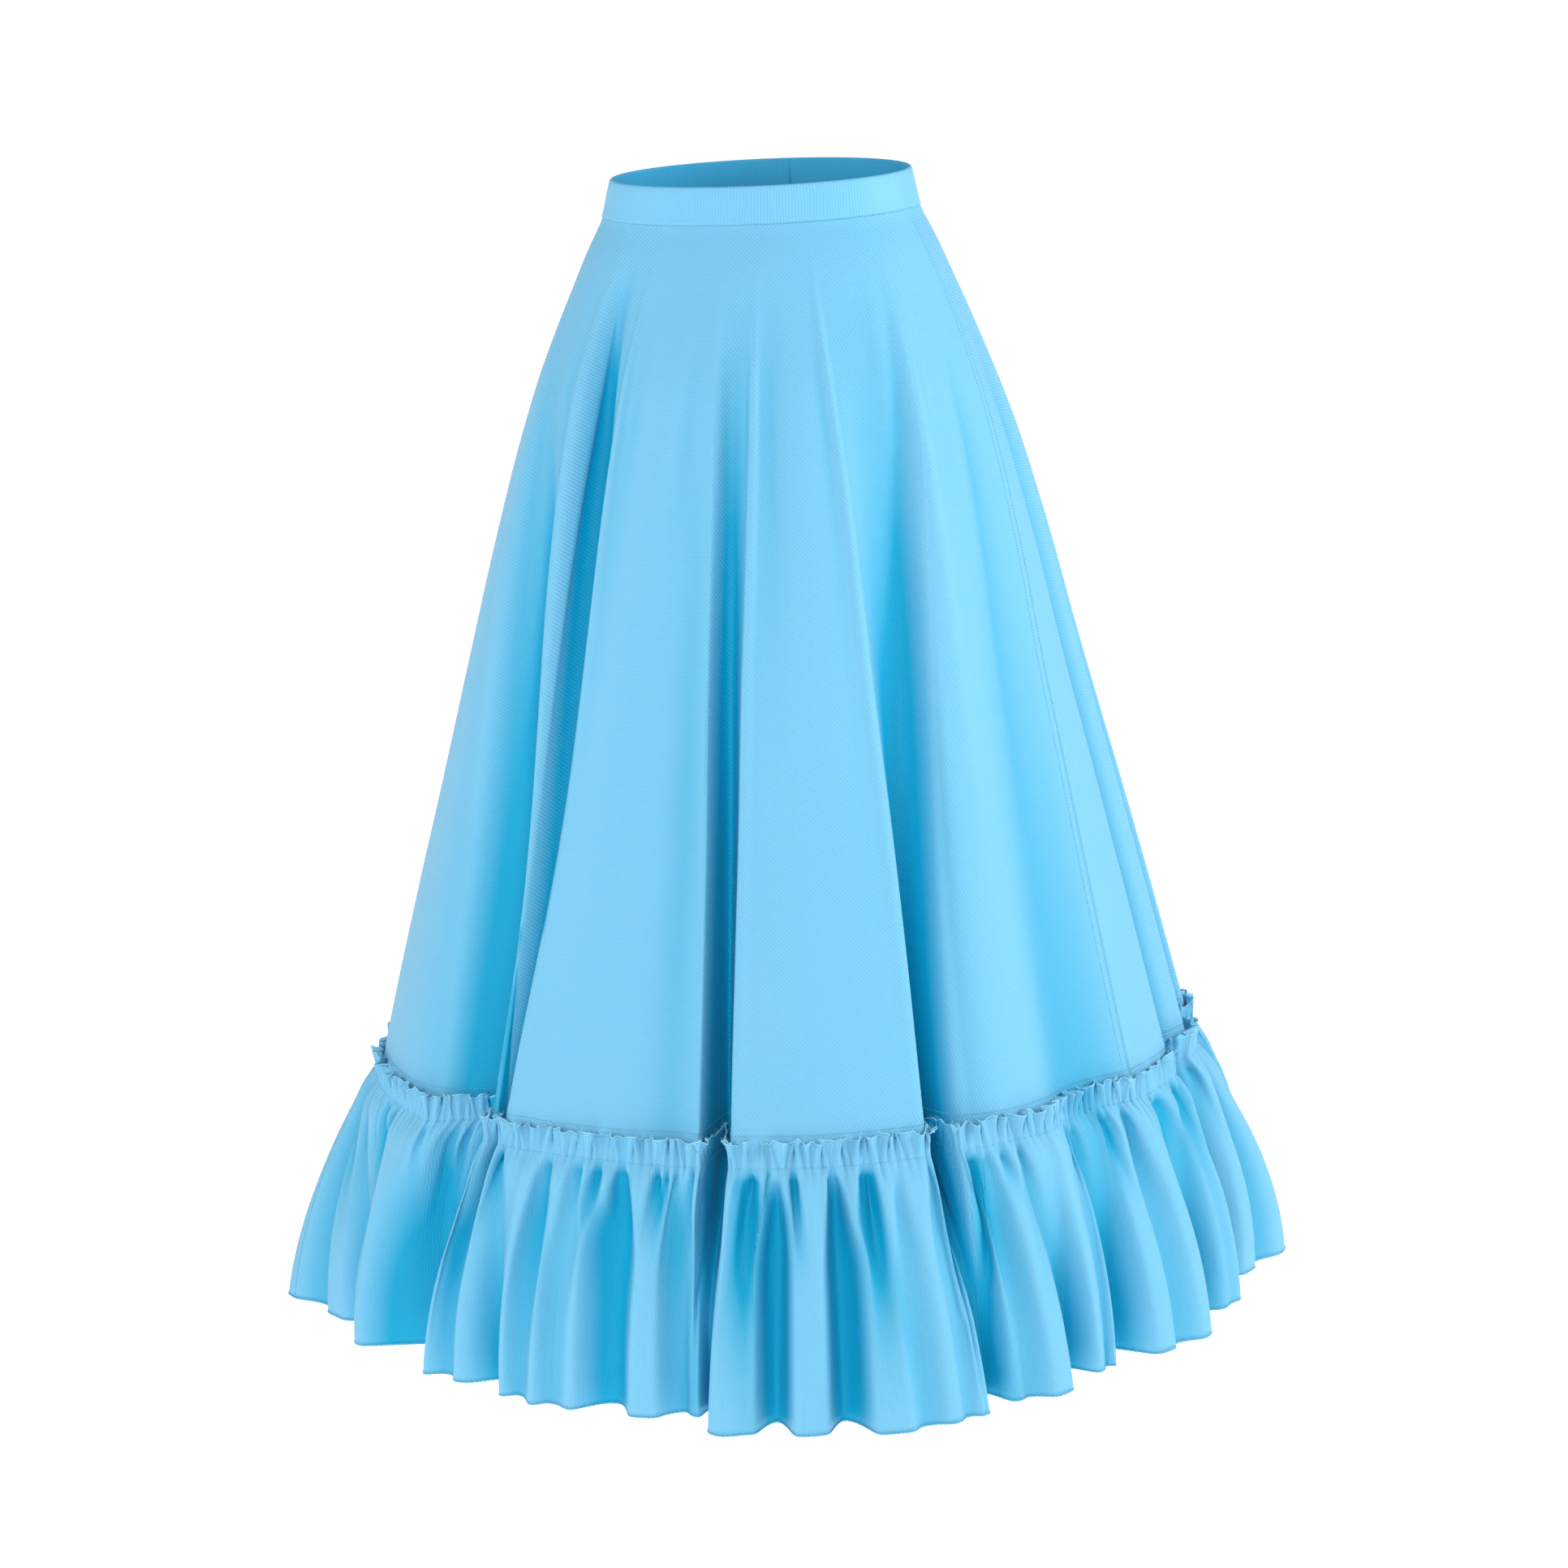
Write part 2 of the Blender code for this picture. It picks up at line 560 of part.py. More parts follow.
def gathered(x, y, share):
    """A row of the flounce moved out and in once for each gather, at every other column."""
    normal_x, normal_y = outward(x, y)
    order = np.arange(len(x))
    quick, slow = GATHER_WAVES
    unlike = 1 + GATHERS_DIFFER * np.sin(order * quick) * np.sin(order * slow + 1)
    full = np.interp(share, *GATHER_SWINGS)
    swing = full * unlike * np.where(order % 2 == 0, -1, 1)
    if share == 0:
        swing = np.clip(swing, -GATHER_SWING, GATHER_SWING)
    heading = np.unwrap(np.arctan2(np.diff(y), np.diff(x)))
    turn = np.concatenate([[0.0], np.diff(heading), [0.0]])
    out_of_hollows = np.clip(1 + turn / HOLLOW_TURN, LEAST_IN_HOLLOW, 1)
    off_the_corners = np.clip(1 + LEAST_IN_HOLLOW - np.abs(turn) / CORNER_TURN, 0, 1)
    swing = swing * np.where(swing > 0, out_of_hollows, off_the_corners)
    step = np.hypot(np.diff(x), np.diff(y))
    most = STEEPEST_GATHER * np.minimum(np.append(step, step[-1]), np.append(step[0], step))
    swing = np.clip(swing, -most, most)
    swing[:FLAT_AT_SEAM] = 0
    swing[-FLAT_AT_SEAM:] = 0
    if share > 0:
        swing = swing + max(GATHERS_BULGE * full - GATHER_SWING, 0)
    return x + normal_x * swing, y + normal_y * swing


def flounce_panel(name, low, high, gathers, hem_columns):
    """A front or back length of the flounce, with its heading, its gathers and its ruffle waves."""
    at_gathers = flounce_seat(0.0)

    def seam(at):
        return flounce_line(at, 0.0, at_gathers)

    def hem(at):
        return flounce_line(at, 1.0, at_gathers)

    pins = [at for fold in FOLDS for at in lips_at(fold, SEAM_DROP)]
    fine = with_neighbours(even_bearings(seam, low, high, 2 * gathers, GATHER_BENDS, pins))
    fine = followed(fine, ruffle_lips(0.0), ruffle_lips(1.0))
    ends = followed(np.array([low, high]), ruffle_lips(0.0), ruffle_lips(1.0))
    pins = np.concatenate(ruffle_lips(1.0))
    coarse = with_neighbours(even_bearings(hem, *ends, hem_columns, HEM_BENDS, pins))
    made = []
    matches = []
    for share in FINE_FLOUNCE_ROWS + HEM_FLOUNCE_ROWS:
        columns = fine if share in FINE_FLOUNCE_ROWS else coarse
        bearings = followed(columns, ruffle_lips(1.0), ruffle_lips(share))
        seat = flounce_seat(share) if share < 0 else at_gathers
        x, y = flounce_line(bearings, share, seat)
        if share in FINE_FLOUNCE_ROWS:
            x, y = gathered(x, y, share)
        below = HEADING_HEIGHT * min(share, 0.0) + (HEM_DROP - SEAM_DROP) * max(share, 0.0)
        made.append(cloth_row(x, y, np.full_like(x, -SEAM_DROP - below)))
        matches.append(columns[1:-1])
    rows, normals = zip(*made)
    wall(name, rows, normals, matches, CLOTH, False)


def main():
    for thing in list(bpy.data.objects):
        bpy.data.objects.remove(thing)
    waistband()
    left, right = SIDE_SEAM_BEARINGS
    body_panel("front_panel", left, right, FRONT_COLUMNS)
    body_panel("back_panel", right, left + 360.0, BACK_COLUMNS)
    flounce_panel("front_flounce", left, right, GATHERS_FRONT, HEM_COLUMNS_FRONT)
    flounce_panel("back_flounce", right, left + 360.0, GATHERS_BACK, HEM_COLUMNS_BACK)


main()
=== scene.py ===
"""Looks of the folk dance skirt: finished cloth over each of its solids, with its sewing.

Metres, +Z up. The origin is the centre of the waist opening, level with the waistband's upper
edge. The front faces -Y. A bearing is an angle round the skirt in degrees: 0 is the front centre,
+90 the wearer's left side and 180 the back centre. A drop is a distance below the waistband's
upper edge. Every cloth piece is worked out on a grid with a row for each drop, or for each share of
the flounce's fall, and a column for each place along the cloth.
"""

import bpy
import numpy as np
from mathutils import Matrix


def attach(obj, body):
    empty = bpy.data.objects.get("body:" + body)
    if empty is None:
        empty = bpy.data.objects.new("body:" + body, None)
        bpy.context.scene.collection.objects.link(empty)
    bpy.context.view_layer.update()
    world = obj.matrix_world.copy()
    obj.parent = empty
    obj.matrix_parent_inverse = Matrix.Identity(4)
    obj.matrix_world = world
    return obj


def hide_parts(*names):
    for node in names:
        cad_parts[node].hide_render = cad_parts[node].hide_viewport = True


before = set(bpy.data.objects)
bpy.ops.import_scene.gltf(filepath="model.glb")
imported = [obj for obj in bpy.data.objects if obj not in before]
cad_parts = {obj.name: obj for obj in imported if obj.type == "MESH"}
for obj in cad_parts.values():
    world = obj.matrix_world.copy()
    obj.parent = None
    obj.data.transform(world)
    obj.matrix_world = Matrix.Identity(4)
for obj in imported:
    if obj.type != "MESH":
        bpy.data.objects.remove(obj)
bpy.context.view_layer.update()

UP = np.array([0.0, 0.0, 1.0])

# The camera, as it stood for the photograph
PHOTO_SIZE = 1932
PHOTO_AZIMUTH = 15.0
PHOTO_DISTANCE = 3.2
PHOTO_HEIGHT = 0.17
PHOTO_PITCH = 12.219
PHOTO_ROLL = 2.4
PHOTO_LENS = 87.07
PHOTO_SHIFT = -2.1 / PHOTO_SIZE
PHOTO_SENSOR = 36.0
NEAREST_SEEN = 0.05

# Heights, as distances below the waistband's upper edge
BAND_HEIGHT = 0.0307
BODY_TOP = 0.0275
WAIST_TILT = 0.006
TILT_GONE_BY = 0.30
SEAM_DROP = 0.755
BODY_END = 0.759
HEM_DROP = 0.964
HEADING_HEIGHT = 0.021

# Cloth: its thickness, and the bearings of the side seams
BODY_CLOTH = 0.0011
FLOUNCE_CLOTH = 0.0009
SIDE_SEAM_BEARINGS = (-73.6, 68.5)

# Waistband: its cloth's thickness, half of its own, how far its faces round out, the bearing and
# half width in degrees of the join of its ends, and the painted shade inside it
BAND_CLOTH = 0.0009
BAND_HALF = 0.0016
BAND_ROUND = 0.0004
BAND_JOIN = 77.0
BAND_JOIN_WIDTH = 0.35
BAND_INSIDE_SHADE = 0.7

# Side seams and the puckers above the flounce: their depths, widths and how far up they reach
SEAM_DIP = 0.0003
SEAM_DIP_WIDTH = 0.0016
PUCKER = 0.0004
PUCKER_PITCH = 0.0072
PUCKER_HEIGHT = 0.022

# Sizes that the cloth shares with the solids under it, and how closely the flounce follows the
# narrow folds: its stand-off and tightest turn there, and the shares of the fall where that fades
FOLDS_DEEPEN = 1.15
FOLD_LIPS_FROM = 0.10
SOLID_CLOTH = 0.0015
SOLID_GAP = 0.0003
SOLID_SWING = 0.0025
HEADING_LEAN = 0.0026
TIGHTEST_TURN = 0.010
CLOSE_TURN = 0.0006
CLOSE_STAND = 0.0014
CLOSE_UNTIL = 0.06
CLOSE_FADES = 0.6
BODY_FLARE = 0.24
FLOUNCE_BULGE = 1.06
TROUGHS_DEEPEN = 3
CIRCLE_STEPS = 20

# Drops at which the tables of folds and soft ridges give bearings
FOLD_DROPS = (0.20, 0.40, 0.755)

# The envelope of the skirt: drop below the waist, half width, half depth, shift of the centre in X
RINGS = (
    (0.000, 0.1262, 0.0960, 0.0000),
    (0.031, 0.1338, 0.1030, -0.0010),
    (0.060, 0.1480, 0.1175, -0.0015),
    (0.090, 0.1613, 0.1310, -0.0020),
    (0.120, 0.1745, 0.1445, -0.0025),
    (0.160, 0.1912, 0.1620, -0.0028),
    (0.200, 0.2055, 0.1765, -0.0030),
    (0.300, 0.2356, 0.2110, -0.0040),
    (0.400, 0.2620, 0.2430, -0.0056),
    (0.500, 0.2888, 0.2735, -0.0063),
    (0.600, 0.3156, 0.3045, -0.0077),
    (0.700, 0.3411, 0.3350, -0.0089),
    (0.770, 0.3580, 0.3560, -0.0090),
)

# One row for each hanging fold, a trough between two panels. First its left lip, bottom and right
# lip as bearings 0.20 m, 0.40 m and 0.755 m below the waist. Then the drop where it starts, its
# depth at the flounce seam, the lean of its bottom in degrees, how crisp its left and right lips
# are from 0 to 1, and how far the panel to its right stands out at the seam
FOLDS = (
    ((-64, -53, -39), (-53, -41, -33), (-43, -34.2, -29.6), 0.09, 0.05, 1.0, 0.0, 0.9, -0.002),
    ((-35, -28.8, -24), (-31, -26.3, -23.9), (-29.4, -28.0, -27), 0.04, 0.03, 1.2, 0.3, 1, -0.006),
    ((0.4, 5, 9.2), (2.0, 5.0, 8.3), (3.0, 4.7, 7.2), 0.08, 0.062, 0.6, 0.3, 1, 0.003),
    ((29.5, 43, 50), (31.3, 37.4, 42.6), (32.8, 34.4, 37.4), 0.07, 0.058, -0.9, 1, 0.0, 0.0),
    ((55, 68, 77.5), (52, 62.5, 72), (50, 60, 68.5), 0.08, 0.016, 0.0, 0.0, 0.9, 0.0),
    ((82.5, 87, 94), (81.2, 85, 91), (80.8, 83.6, 89.5), 0.09, 0.036, -0.9, 1, 0.1, 0.0),
    ((98, 104, 110), (97, 102, 107), (96.5, 101, 106), 0.12, 0.034, 0.5, 0.0, 0.7, 0.0),
    ((116, 124, 130), (117, 123, 128.5), (117.5, 122, 126.6), 0.06, 0.06, -0.6, 0.9, 0.1, -0.004),
    ((136, 143, 148), (137, 142, 147), (137.5, 142, 146), 0.13, 0.03, 0.8, 0.0, 0.8, -0.01),
    ((152, 158, 164), (153, 158, 163), (153.6, 158, 162.6), 0.07, 0.058, 0.9, 0.1, 0.8, -0.012),
    ((171, 177, 182), (172, 176.5, 181), (172.4, 176.4, 180.4), 0.11, 0.04, -0.9, 0.9, 0.0, -0.01),
    ((188, 194, 201), (188.5, 193.5, 199), (189, 193.4, 198), 0.06, 0.062, 0.8, 0.0, 0.9, -0.006),
    ((209, 215, 221), (209, 214, 219), (209.4, 214, 218.6), 0.12, 0.036, -0.7, 0.8, 0.1, -0.006),
    ((225, 232, 239), (226, 231.5, 237.4), (226.6, 231.4, 236), 0.07, 0.057, -0.8, 0.9, 0.1, 0.0),
    ((244, 250, 256), (244.4, 249.4, 254.4), (245, 249.4, 253.8), 0.14, 0.03, 0.7, 0.0, 0.8, 0.0),
    ((259, 265, 272), (260, 265, 271), (261, 265.6, 270.4), 0.09, 0.05, 0.8, 0.1, 0.9, 0.0),
    ((275, 280.5, 285.5), (277, 281.5, 286.4), (278, 282, 286.4), 0.13, 0.022, 0.0, 0.3, 0.0, 0.0),
)

# One row for each soft ridge on the body, or shallow trough where its height is negative: its
# bearings at the three drops, half width in degrees, height, and the drops where it begins, stands
# highest and is gone
SOFT_RIDGES = (
    ((-12.0, -15.0, -19.5), 3.6, 0.0034, 0.06, 0.26, 0.85),
    ((-19.5, -20.5, -23.0), 2.6, -0.0012, 0.05, 0.20, 0.60),
    ((-5.5, -7.0, -8.0), 3.0, -0.0012, 0.06, 0.20, 0.50),
    ((-31.6, -27.4, -28.2), 3.0, -0.0240, 0.04, 0.22, 0.70),
    ((-49.0, -39.0, -32.6), 2.8, -0.0220, 0.16, 0.50, 1.30),
    ((-2.0, -1.4, -1.2), 3.8, -0.0060, 0.12, 0.50, 1.60),
    ((43.5, 40.8, 39.0), 2.8, -0.0050, 0.14, 0.50, 1.60),
    ((-66.0, -54.0, -44.0), 4.2, -0.0050, 0.20, 0.75, 2.00),
    ((-39.6, -34.4, -30.6), 1.5, 0.0040, 0.05, 0.17, 1.10),
    ((-33.6, -29.0, -28.4), 1.6, -0.0040, 0.05, 0.13, 0.40),
    ((-24.0, -23.0, -25.6), 0.9, 0.0030, 0.05, 0.16, 1.00),
    ((13.8, 13.4, 13.0), 3.0, -0.0032, 0.05, 0.20, 0.50),
    ((21.5, 20.6, 19.6), 3.4, 0.0012, 0.06, 0.20, 0.60),
    ((28.6, 30.2, 31.8), 1.0, 0.0028, 0.05, 0.15, 1.00),
    ((9.8, 9.0, 8.0), 0.9, 0.0026, 0.06, 0.18, 1.00),
    ((42.4, 38.5, 37.0), 2.8, 0.0018, 0.05, 0.13, 0.30),
    ((50.5, 48.4, 46.0), 2.4, 0.0030, 0.05, 0.20, 0.80),
    ((60.0, 56.5, 52.0), 2.8, 0.0020, 0.10, 0.26, 0.80),
    ((66.0, 61.5, 58.5), 2.4, -0.0030, 0.09, 0.24, 0.90),
    ((-47.0, -38.0, -32.0), 3.0, 0.0020, 0.07, 0.16, 0.32),
    ((-61.0, -52.0, -43.0), 3.0, 0.0022, 0.12, 0.30, 0.70),
    ((112.0, 111.5, 111.0), 2.4, 0.0034, 0.07, 0.24, 0.85),
    ((133.0, 132.5, 132.0), 2.6, -0.0026, 0.05, 0.18, 0.50),
    ((150.5, 150.0, 149.5), 1.8, 0.0024, 0.08, 0.30, 0.90),
    ((168.0, 167.5, 167.0), 2.4, -0.0028, 0.05, 0.20, 0.52),
    ((185.5, 185.0, 184.5), 2.2, 0.0030, 0.07, 0.28, 0.88),
    ((205.0, 204.5, 204.0), 2.4, -0.0026, 0.06, 0.17, 0.46),
    ((223.0, 222.8, 222.4), 1.8, 0.0022, 0.08, 0.26, 0.80),
    ((241.5, 241.0, 240.5), 2.2, 0.0034, 0.07, 0.24, 0.90),
    ((257.5, 257.4, 257.2), 2.0, -0.0024, 0.06, 0.18, 0.44),
)

# How far the hem's crests reach from the axis: bearing and distance
HEM_REACH = (
    (-75.0, 0.460), (-68.3, 0.427), (-60.8, 0.404), (-55.5, 0.410), (-47.0, 0.400), (-41.0, 0.388),
    (-35.0, 0.376), (-28.3, 0.374), (-23.3, 0.375), (-16.9, 0.367), (-8.6, 0.362), (-4.4, 0.359),
    (0.4, 0.355), (2.5, 0.381), (8.0, 0.384), (13.5, 0.389), (17.0, 0.388), (22.8, 0.396),
    (27.0, 0.397), (32.0, 0.391), (36.9, 0.384), (40.5, 0.372), (46.0, 0.382), (50.0, 0.377),
    (56.0, 0.364), (60.0, 0.366), (66.5, 0.379), (73.5, 0.391), (81.0, 0.377), (86.6, 0.392),
    (96.0, 0.386), (104.7, 0.423), (117.0, 0.421), (130.0, 0.413), (142.0, 0.407), (155.0, 0.401),
    (166.0, 0.397), (179.0, 0.398), (190.0, 0.399), (203.0, 0.405), (216.0, 0.413), (228.0, 0.421),
    (241.0, 0.431), (253.0, 0.441), (266.0, 0.452), (279.0, 0.459),
)

# One row for each deep trough between two ruffle waves of the flounce: its left lip, bottom and
# right lip as bearings at the hem, its bottom's bearing at the gathers, its depth at the hem, and
# how crisp its left and right lips are from 0 to 1
RUFFLE_TROUGHS = (
    ((-64.0, -59.4, -56.0), -61.6, 0.034, 0.1, 0.7),
    ((-55.0, -46.5, -41.1), -35.5, 0.060, 0.0, 1.0),
    ((-34.6, -30.4, -28.2), -25.0, 0.024, 0.0, 1.0),
    ((0.0, 1.4, 2.4), 4.2, 0.032, 0.4, 1.0),
    ((36.7, 38.0, 41.0), 34.6, 0.036, 1.0, 0.0),
    ((49.2, 51.8, 55.4), 46.5, 0.040, 1.0, 0.0),
    ((58.6, 61.7, 64.8), 58.0, 0.044, 1.0, 0.3),
    ((75.0, 79.0, 82.8), 72.8, 0.038, 1.0, 0.1),
    ((87.2, 91.6, 96.4), 83.6, 0.042, 0.9, 0.1),
    ((106.5, 111.0, 115.5), 101.0, 0.050, 0.7, 0.2),
    ((119.6, 124.0, 128.4), 122.0, 0.042, 0.2, 0.6),
    ((131.5, 136.0, 140.6), 134.0, 0.050, 0.6, 0.2),
    ((145.0, 149.4, 153.6), 147.0, 0.046, 0.1, 0.8),
    ((157.0, 160.5, 164.4), 158.0, 0.024, 0.1, 0.1),
    ((168.4, 173.0, 177.8), 175.6, 0.050, 0.8, 0.1),
    ((181.0, 184.5, 188.4), 184.8, 0.026, 0.1, 0.3),
    ((191.8, 196.5, 201.4), 194.6, 0.050, 0.2, 0.8),
    ((205.0, 209.0, 213.4), 209.0, 0.044, 0.4, 0.2),
    ((218.8, 222.5, 226.4), 219.6, 0.028, 0.1, 0.1),
    ((229.6, 234.5, 239.6), 231.4, 0.052, 0.8, 0.1),
    ((243.2, 247.5, 251.8), 246.0, 0.044, 0.2, 0.6),
    ((255.0, 259.5, 264.4), 262.0, 0.048, 0.2, 0.8),
    ((269.4, 274.5, 279.6), 275.0, 0.050, 0.3, 0.3),
)

# One row for each narrower crease between two flutes of the flounce: its left lip, bottom and right
# lip at the hem, its depth, and how crisp its left and right lips are. It follows the cloth's
# columns up to the gathers
FLUTE_CREASES = (
    (-72.5, -70.0, -67.0, 0.012, 0.6, 0.1),
    (-54.5, -47.0, -42.0, 0.006, 0.0, 1.0),
    (-40.6, -38.4, -36.2, 0.010, 0.2, 0.8),
    (-36.2, -32.4, -29.0, 0.006, 0.0, 0.9),
    (-27.6, -25.6, -22.8, 0.011, 0.2, 0.8),
    (-22.4, -20.6, -17.6, 0.009, 0.0, 0.8),
    (-17.0, -12.4, -8.9, 0.024, 0.7, 1.0),
    (-5.6, -3.4, -0.6, 0.012, 0.4, 0.1),
    (8.2, 10.6, 12.9, 0.029, 1.0, 0.9),
    (16.9, 19.2, 22.5, 0.030, 1.0, 0.8),
    (26.6, 28.4, 31.6, 0.008, 0.7, 0.1),
    (32.4, 33.8, 35.6, 0.006, 0.2, 0.6),
    (41.8, 43.8, 46.0, 0.008, 0.2, 0.7),
    (56.2, 57.4, 58.4, 0.005, 0.5, 0.2),
    (67.4, 69.6, 72.4, 0.010, 0.2, 0.8),
    (83.6, 85.2, 87.0, 0.006, 0.2, 0.6),
    (98.8, 101.0, 103.4, 0.013, 0.9, 0.1),
    (116.4, 117.8, 119.2, 0.009, 0.3, 0.7),
    (129.0, 130.0, 131.2, 0.007, 0.8, 0.1),
    (142.0, 143.2, 144.4, 0.010, 0.8, 0.1),
    (154.0, 155.4, 156.6, 0.008, 0.1, 0.7),
    (164.8, 166.4, 168.2, 0.013, 0.1, 0.9),
    (178.4, 179.6, 180.8, 0.006, 0.6, 0.2),
    (189.0, 190.2, 191.6, 0.009, 0.2, 0.6),
    (202.0, 203.4, 204.8, 0.011, 0.8, 0.1),
    (214.0, 216.2, 218.4, 0.015, 0.1, 0.9),
    (227.0, 228.2, 229.4, 0.008, 0.6, 0.2),
    (240.2, 241.6, 243.0, 0.010, 0.8, 0.1),
    (252.2, 253.4, 254.6, 0.007, 0.2, 0.7),
    (265.0, 267.0, 269.2, 0.013, 0.1, 0.9),
    (280.6, 283.0, 285.6, 0.014, 0.9, 0.1),
)

# Creases of the flounce: how fast they deepen below the gathers, and how narrow they are there
CREASES_START = 0.02
CREASES_DEEPEN = 0.10
CREASES_NARROW = 0.45
CREASES_OPEN_BY = 0.40

# Troughs of the flounce at the gathers: the least and most of a crest's width at the hem that it
# keeps there, and the least space in degrees between a trough's bottom and its lips
CREST_KEPT = (0.6, 1.5)
CREST_ROOM = 1.0
LIP_ROOM = 0.8

# Gathers of the flounce: their number on each side, and the least and greatest depths of their
# valleys at the stitches, at the heading's edge, and below the stitches for short and for long
# ones. Then the shares of the fall where they fade, the share of long ones, widths in gathers and
# how they open down the fall, how uneven widths and places are, and how many valleys a column
# takes in on each side. Last, the heading's teeth and the puff under the stitches
GATHERS_FRONT = 156
GATHERS_BACK = 214
COLUMNS_PER_GATHER = 6
STITCHED_DEPTHS = (0.0018, 0.0030)
HEADING_DEPTHS = (0.003325, 0.0095)
GATHER_DEPTHS = (0.0010, 0.0035)
LONG_DEPTHS = (0.0065, 0.0150)
SHORT_FADES = (0.03, 0.12)
LONG_FADES = (0.14, 0.60)
LONG_ONES = 0.42
VALLEY_WIDTH = 0.28
VALLEY_OPENS = 2.2
LONG_WIDTH = 0.40
LONG_OPENS = 3.4
VALLEY_WIDTHS = (0.7, 1.3)
VALLEY_WANDER = 0.5
VALLEYS_BESIDE = 3
VALLEYS_MIDDLE = 0.00135
VALLEYS_OPEN_FROM = 0.006
VALLEYS_OPEN_OVER = 0.05
TOOTH_LEANS = (-0.0025, 0.0055)
TOOTH_HALF = 0.4
TOOTH_TWIST = 0.0038
EAR_RISE = 0.0022
PUFF_OUT = 0.0036
PUFF_AT = 0.10
SEAT_IN = 0.0014
FLOUNCE_STAND = SOLID_CLOTH + SOLID_GAP + SOLID_SWING - SEAT_IN
HEADING_OUT = SEAT_IN + HEADING_LEAN

# Where the gathers lie calmer: on cloth that turns sharply, lies deep between crests or faces aside
TURN_CALM = 0.0035
CALMEST_TURN = 0.15
TROUGH_CALM = 0.88
SHELTER_CALM = 0.7
SHELTER_DEEP = 0.03
STEEP_FACING = 0.30
STEEP_FADES = 0.45

# Sewing. A stitch's row has the pitch, the length and the slant of its stitches
FRILL_STITCH = (0.0026, 0.0022, 0.5)
SIDE_STITCH = (0.0026, 0.0019, 0.0)
GATHERING_STITCH = (0.0034, 0.0024, 0.0)
THREAD = 0.00030
HEM_ROLL = 0.0010
EDGE_ROLL = 0.0006
TOPSTITCH_OFF = 0.006
TOPSTITCH_FROM = 3
ABOVE_FRILL = 0.002

# Rolled edges: the length of a ring, sides of the tube, pitch and relief of the overcasting
EDGE_RING = 0.0013
EDGE_SIDES = 6
EDGE_THREAD = 0.0036
EDGE_RELIEF = 0.18

# Loose fibres on the heading's edge
FRAY_PITCH = 0.0015
FRAY_LENGTHS = (0.0010, 0.0046)
FRAY_THICK = 0.00016
FRAY_BEND = 0.9

# Grids: columns, rows by stretch with the drops or shares where the stretches meet, the points on a
# line that is parted into columns, and the columns' weight and reach round tight bends
FRONT_COLUMNS = 400
BACK_COLUMNS = 500
BAND_COLUMNS = 480
BODY_ROWS = (6, 74, 18)
BODY_STRETCHES = (BODY_TOP, 0.045, 0.70, BODY_END)
FLOUNCE_ROWS = (8, 10, 22)
FLOUNCE_STRETCHES = (-1, 0, 0.24, 1)
LINE_POINTS = 24000
BEND_WEIGHT = 0.010
BEND_REACH = 220

# Rounds of softening for crisp and for soft lips, and which lips are soft
EDGE_ROUNDS = 3
LIP_ROUNDS = 70
SOFT_CRISP = 0.15
SOFT_LIP_WIDTH = 3.4

# Colours, as linear red, green and blue
LIT_BLUE = (0.176, 0.460, 0.670)
# The deep blue below is the painted shade's colour in folds, troughs, hollows, gathers and inside
# the waistband. It is also the deeper tone of the weave, the clouds and the threads' twist
SHADE_AND_DYE_BLUE = (0.000, 0.305, 0.520)
THREAD_BLUE = (0.070, 0.340, 0.560)
SEAM_BLUE = (0.130, 0.410, 0.620)
FIBRE_BLUE = (0.280, 0.600, 0.780)
SHEEN_WHITE = (0.75, 0.92, 1.0, 1.0)
FLOOR_WHITE = (0.97, 0.97, 0.97)
FLOOR_SHADE = (0.90, 0.90, 0.90)

# Painted shade, mixed into the cloth's colour where it lies in folds: the depths in a fold, a
# trough and a gather at which it is deepest, its greatest share, its share from a hollow's turn,
# and the shares of deeper tone that the weave and the soft clouds add
DEEP_FOLD = 0.024
DEEP_TROUGH = 0.024
DEEP_GATHER = 0.0085
SHADE_PAINT_MOST = 0.99
CREASE_SHADE_PAINT = 1.2
HOLLOW_SHADE = 0.004
HOLLOW_MOST = 0.6
HOLLOW_FROM = 0.1
HOLLOW_OVER = 0.1
WEAVE_SHADE = 0.26
CLOUD_SHADE = 0.06
THREAD_SHADE = 0.35

# Weaves: their kind, the pitch of their threads, the depth of their relief and the noise in it
BAND_WEAVE = ("rib", 0.0026, 0.00012, 0.5)
BODY_WEAVE = ("twill", 0.0025, 0.00028, 0.30)
FLOUNCE_WEAVE = ("crepe", 0.0017, 0.00013, 0.6)

# How upright threads wander: the scale of the noise, and how many pitches it moves them
WEAVE_BENDS = {"crepe": (160.0, 2.2), "rib": (60.0, 1.4)}

# The stretches of the body, by their bearings, where the weave shows level lines, and how strongly
LEVEL_GRAIN = ((-25.0, 2.0), (142.0, 158.0), (231.0, 249.0))
LEVEL_SHARE = 0.75
LEVEL_FADES = 1.5

# Floor, surround and lights. A softbox has its name, its azimuth from the camera's, its elevation,
# distance, size and power
FLOOR_DROP = 2.2
FLOOR_GLOW = 0.66
FLOOR_REACH = (0.0, 40.0, 90.0)
FLOOR_RISE = (0.0, 0.0, 16.0)
FLOOR_SIDES = 48
SURROUND = 0.38
LIGHT_AIM = (0.0, 0.0, -0.45)
SOFTBOXES = (
    ("front_softbox", -8, 20, 3.4, 2.4, 62),
    ("left_softbox", -75, 16, 3.0, 1.5, 28),
    ("right_softbox", 80, 20, 3.0, 1.5, 68),
)


# Tables and profiles


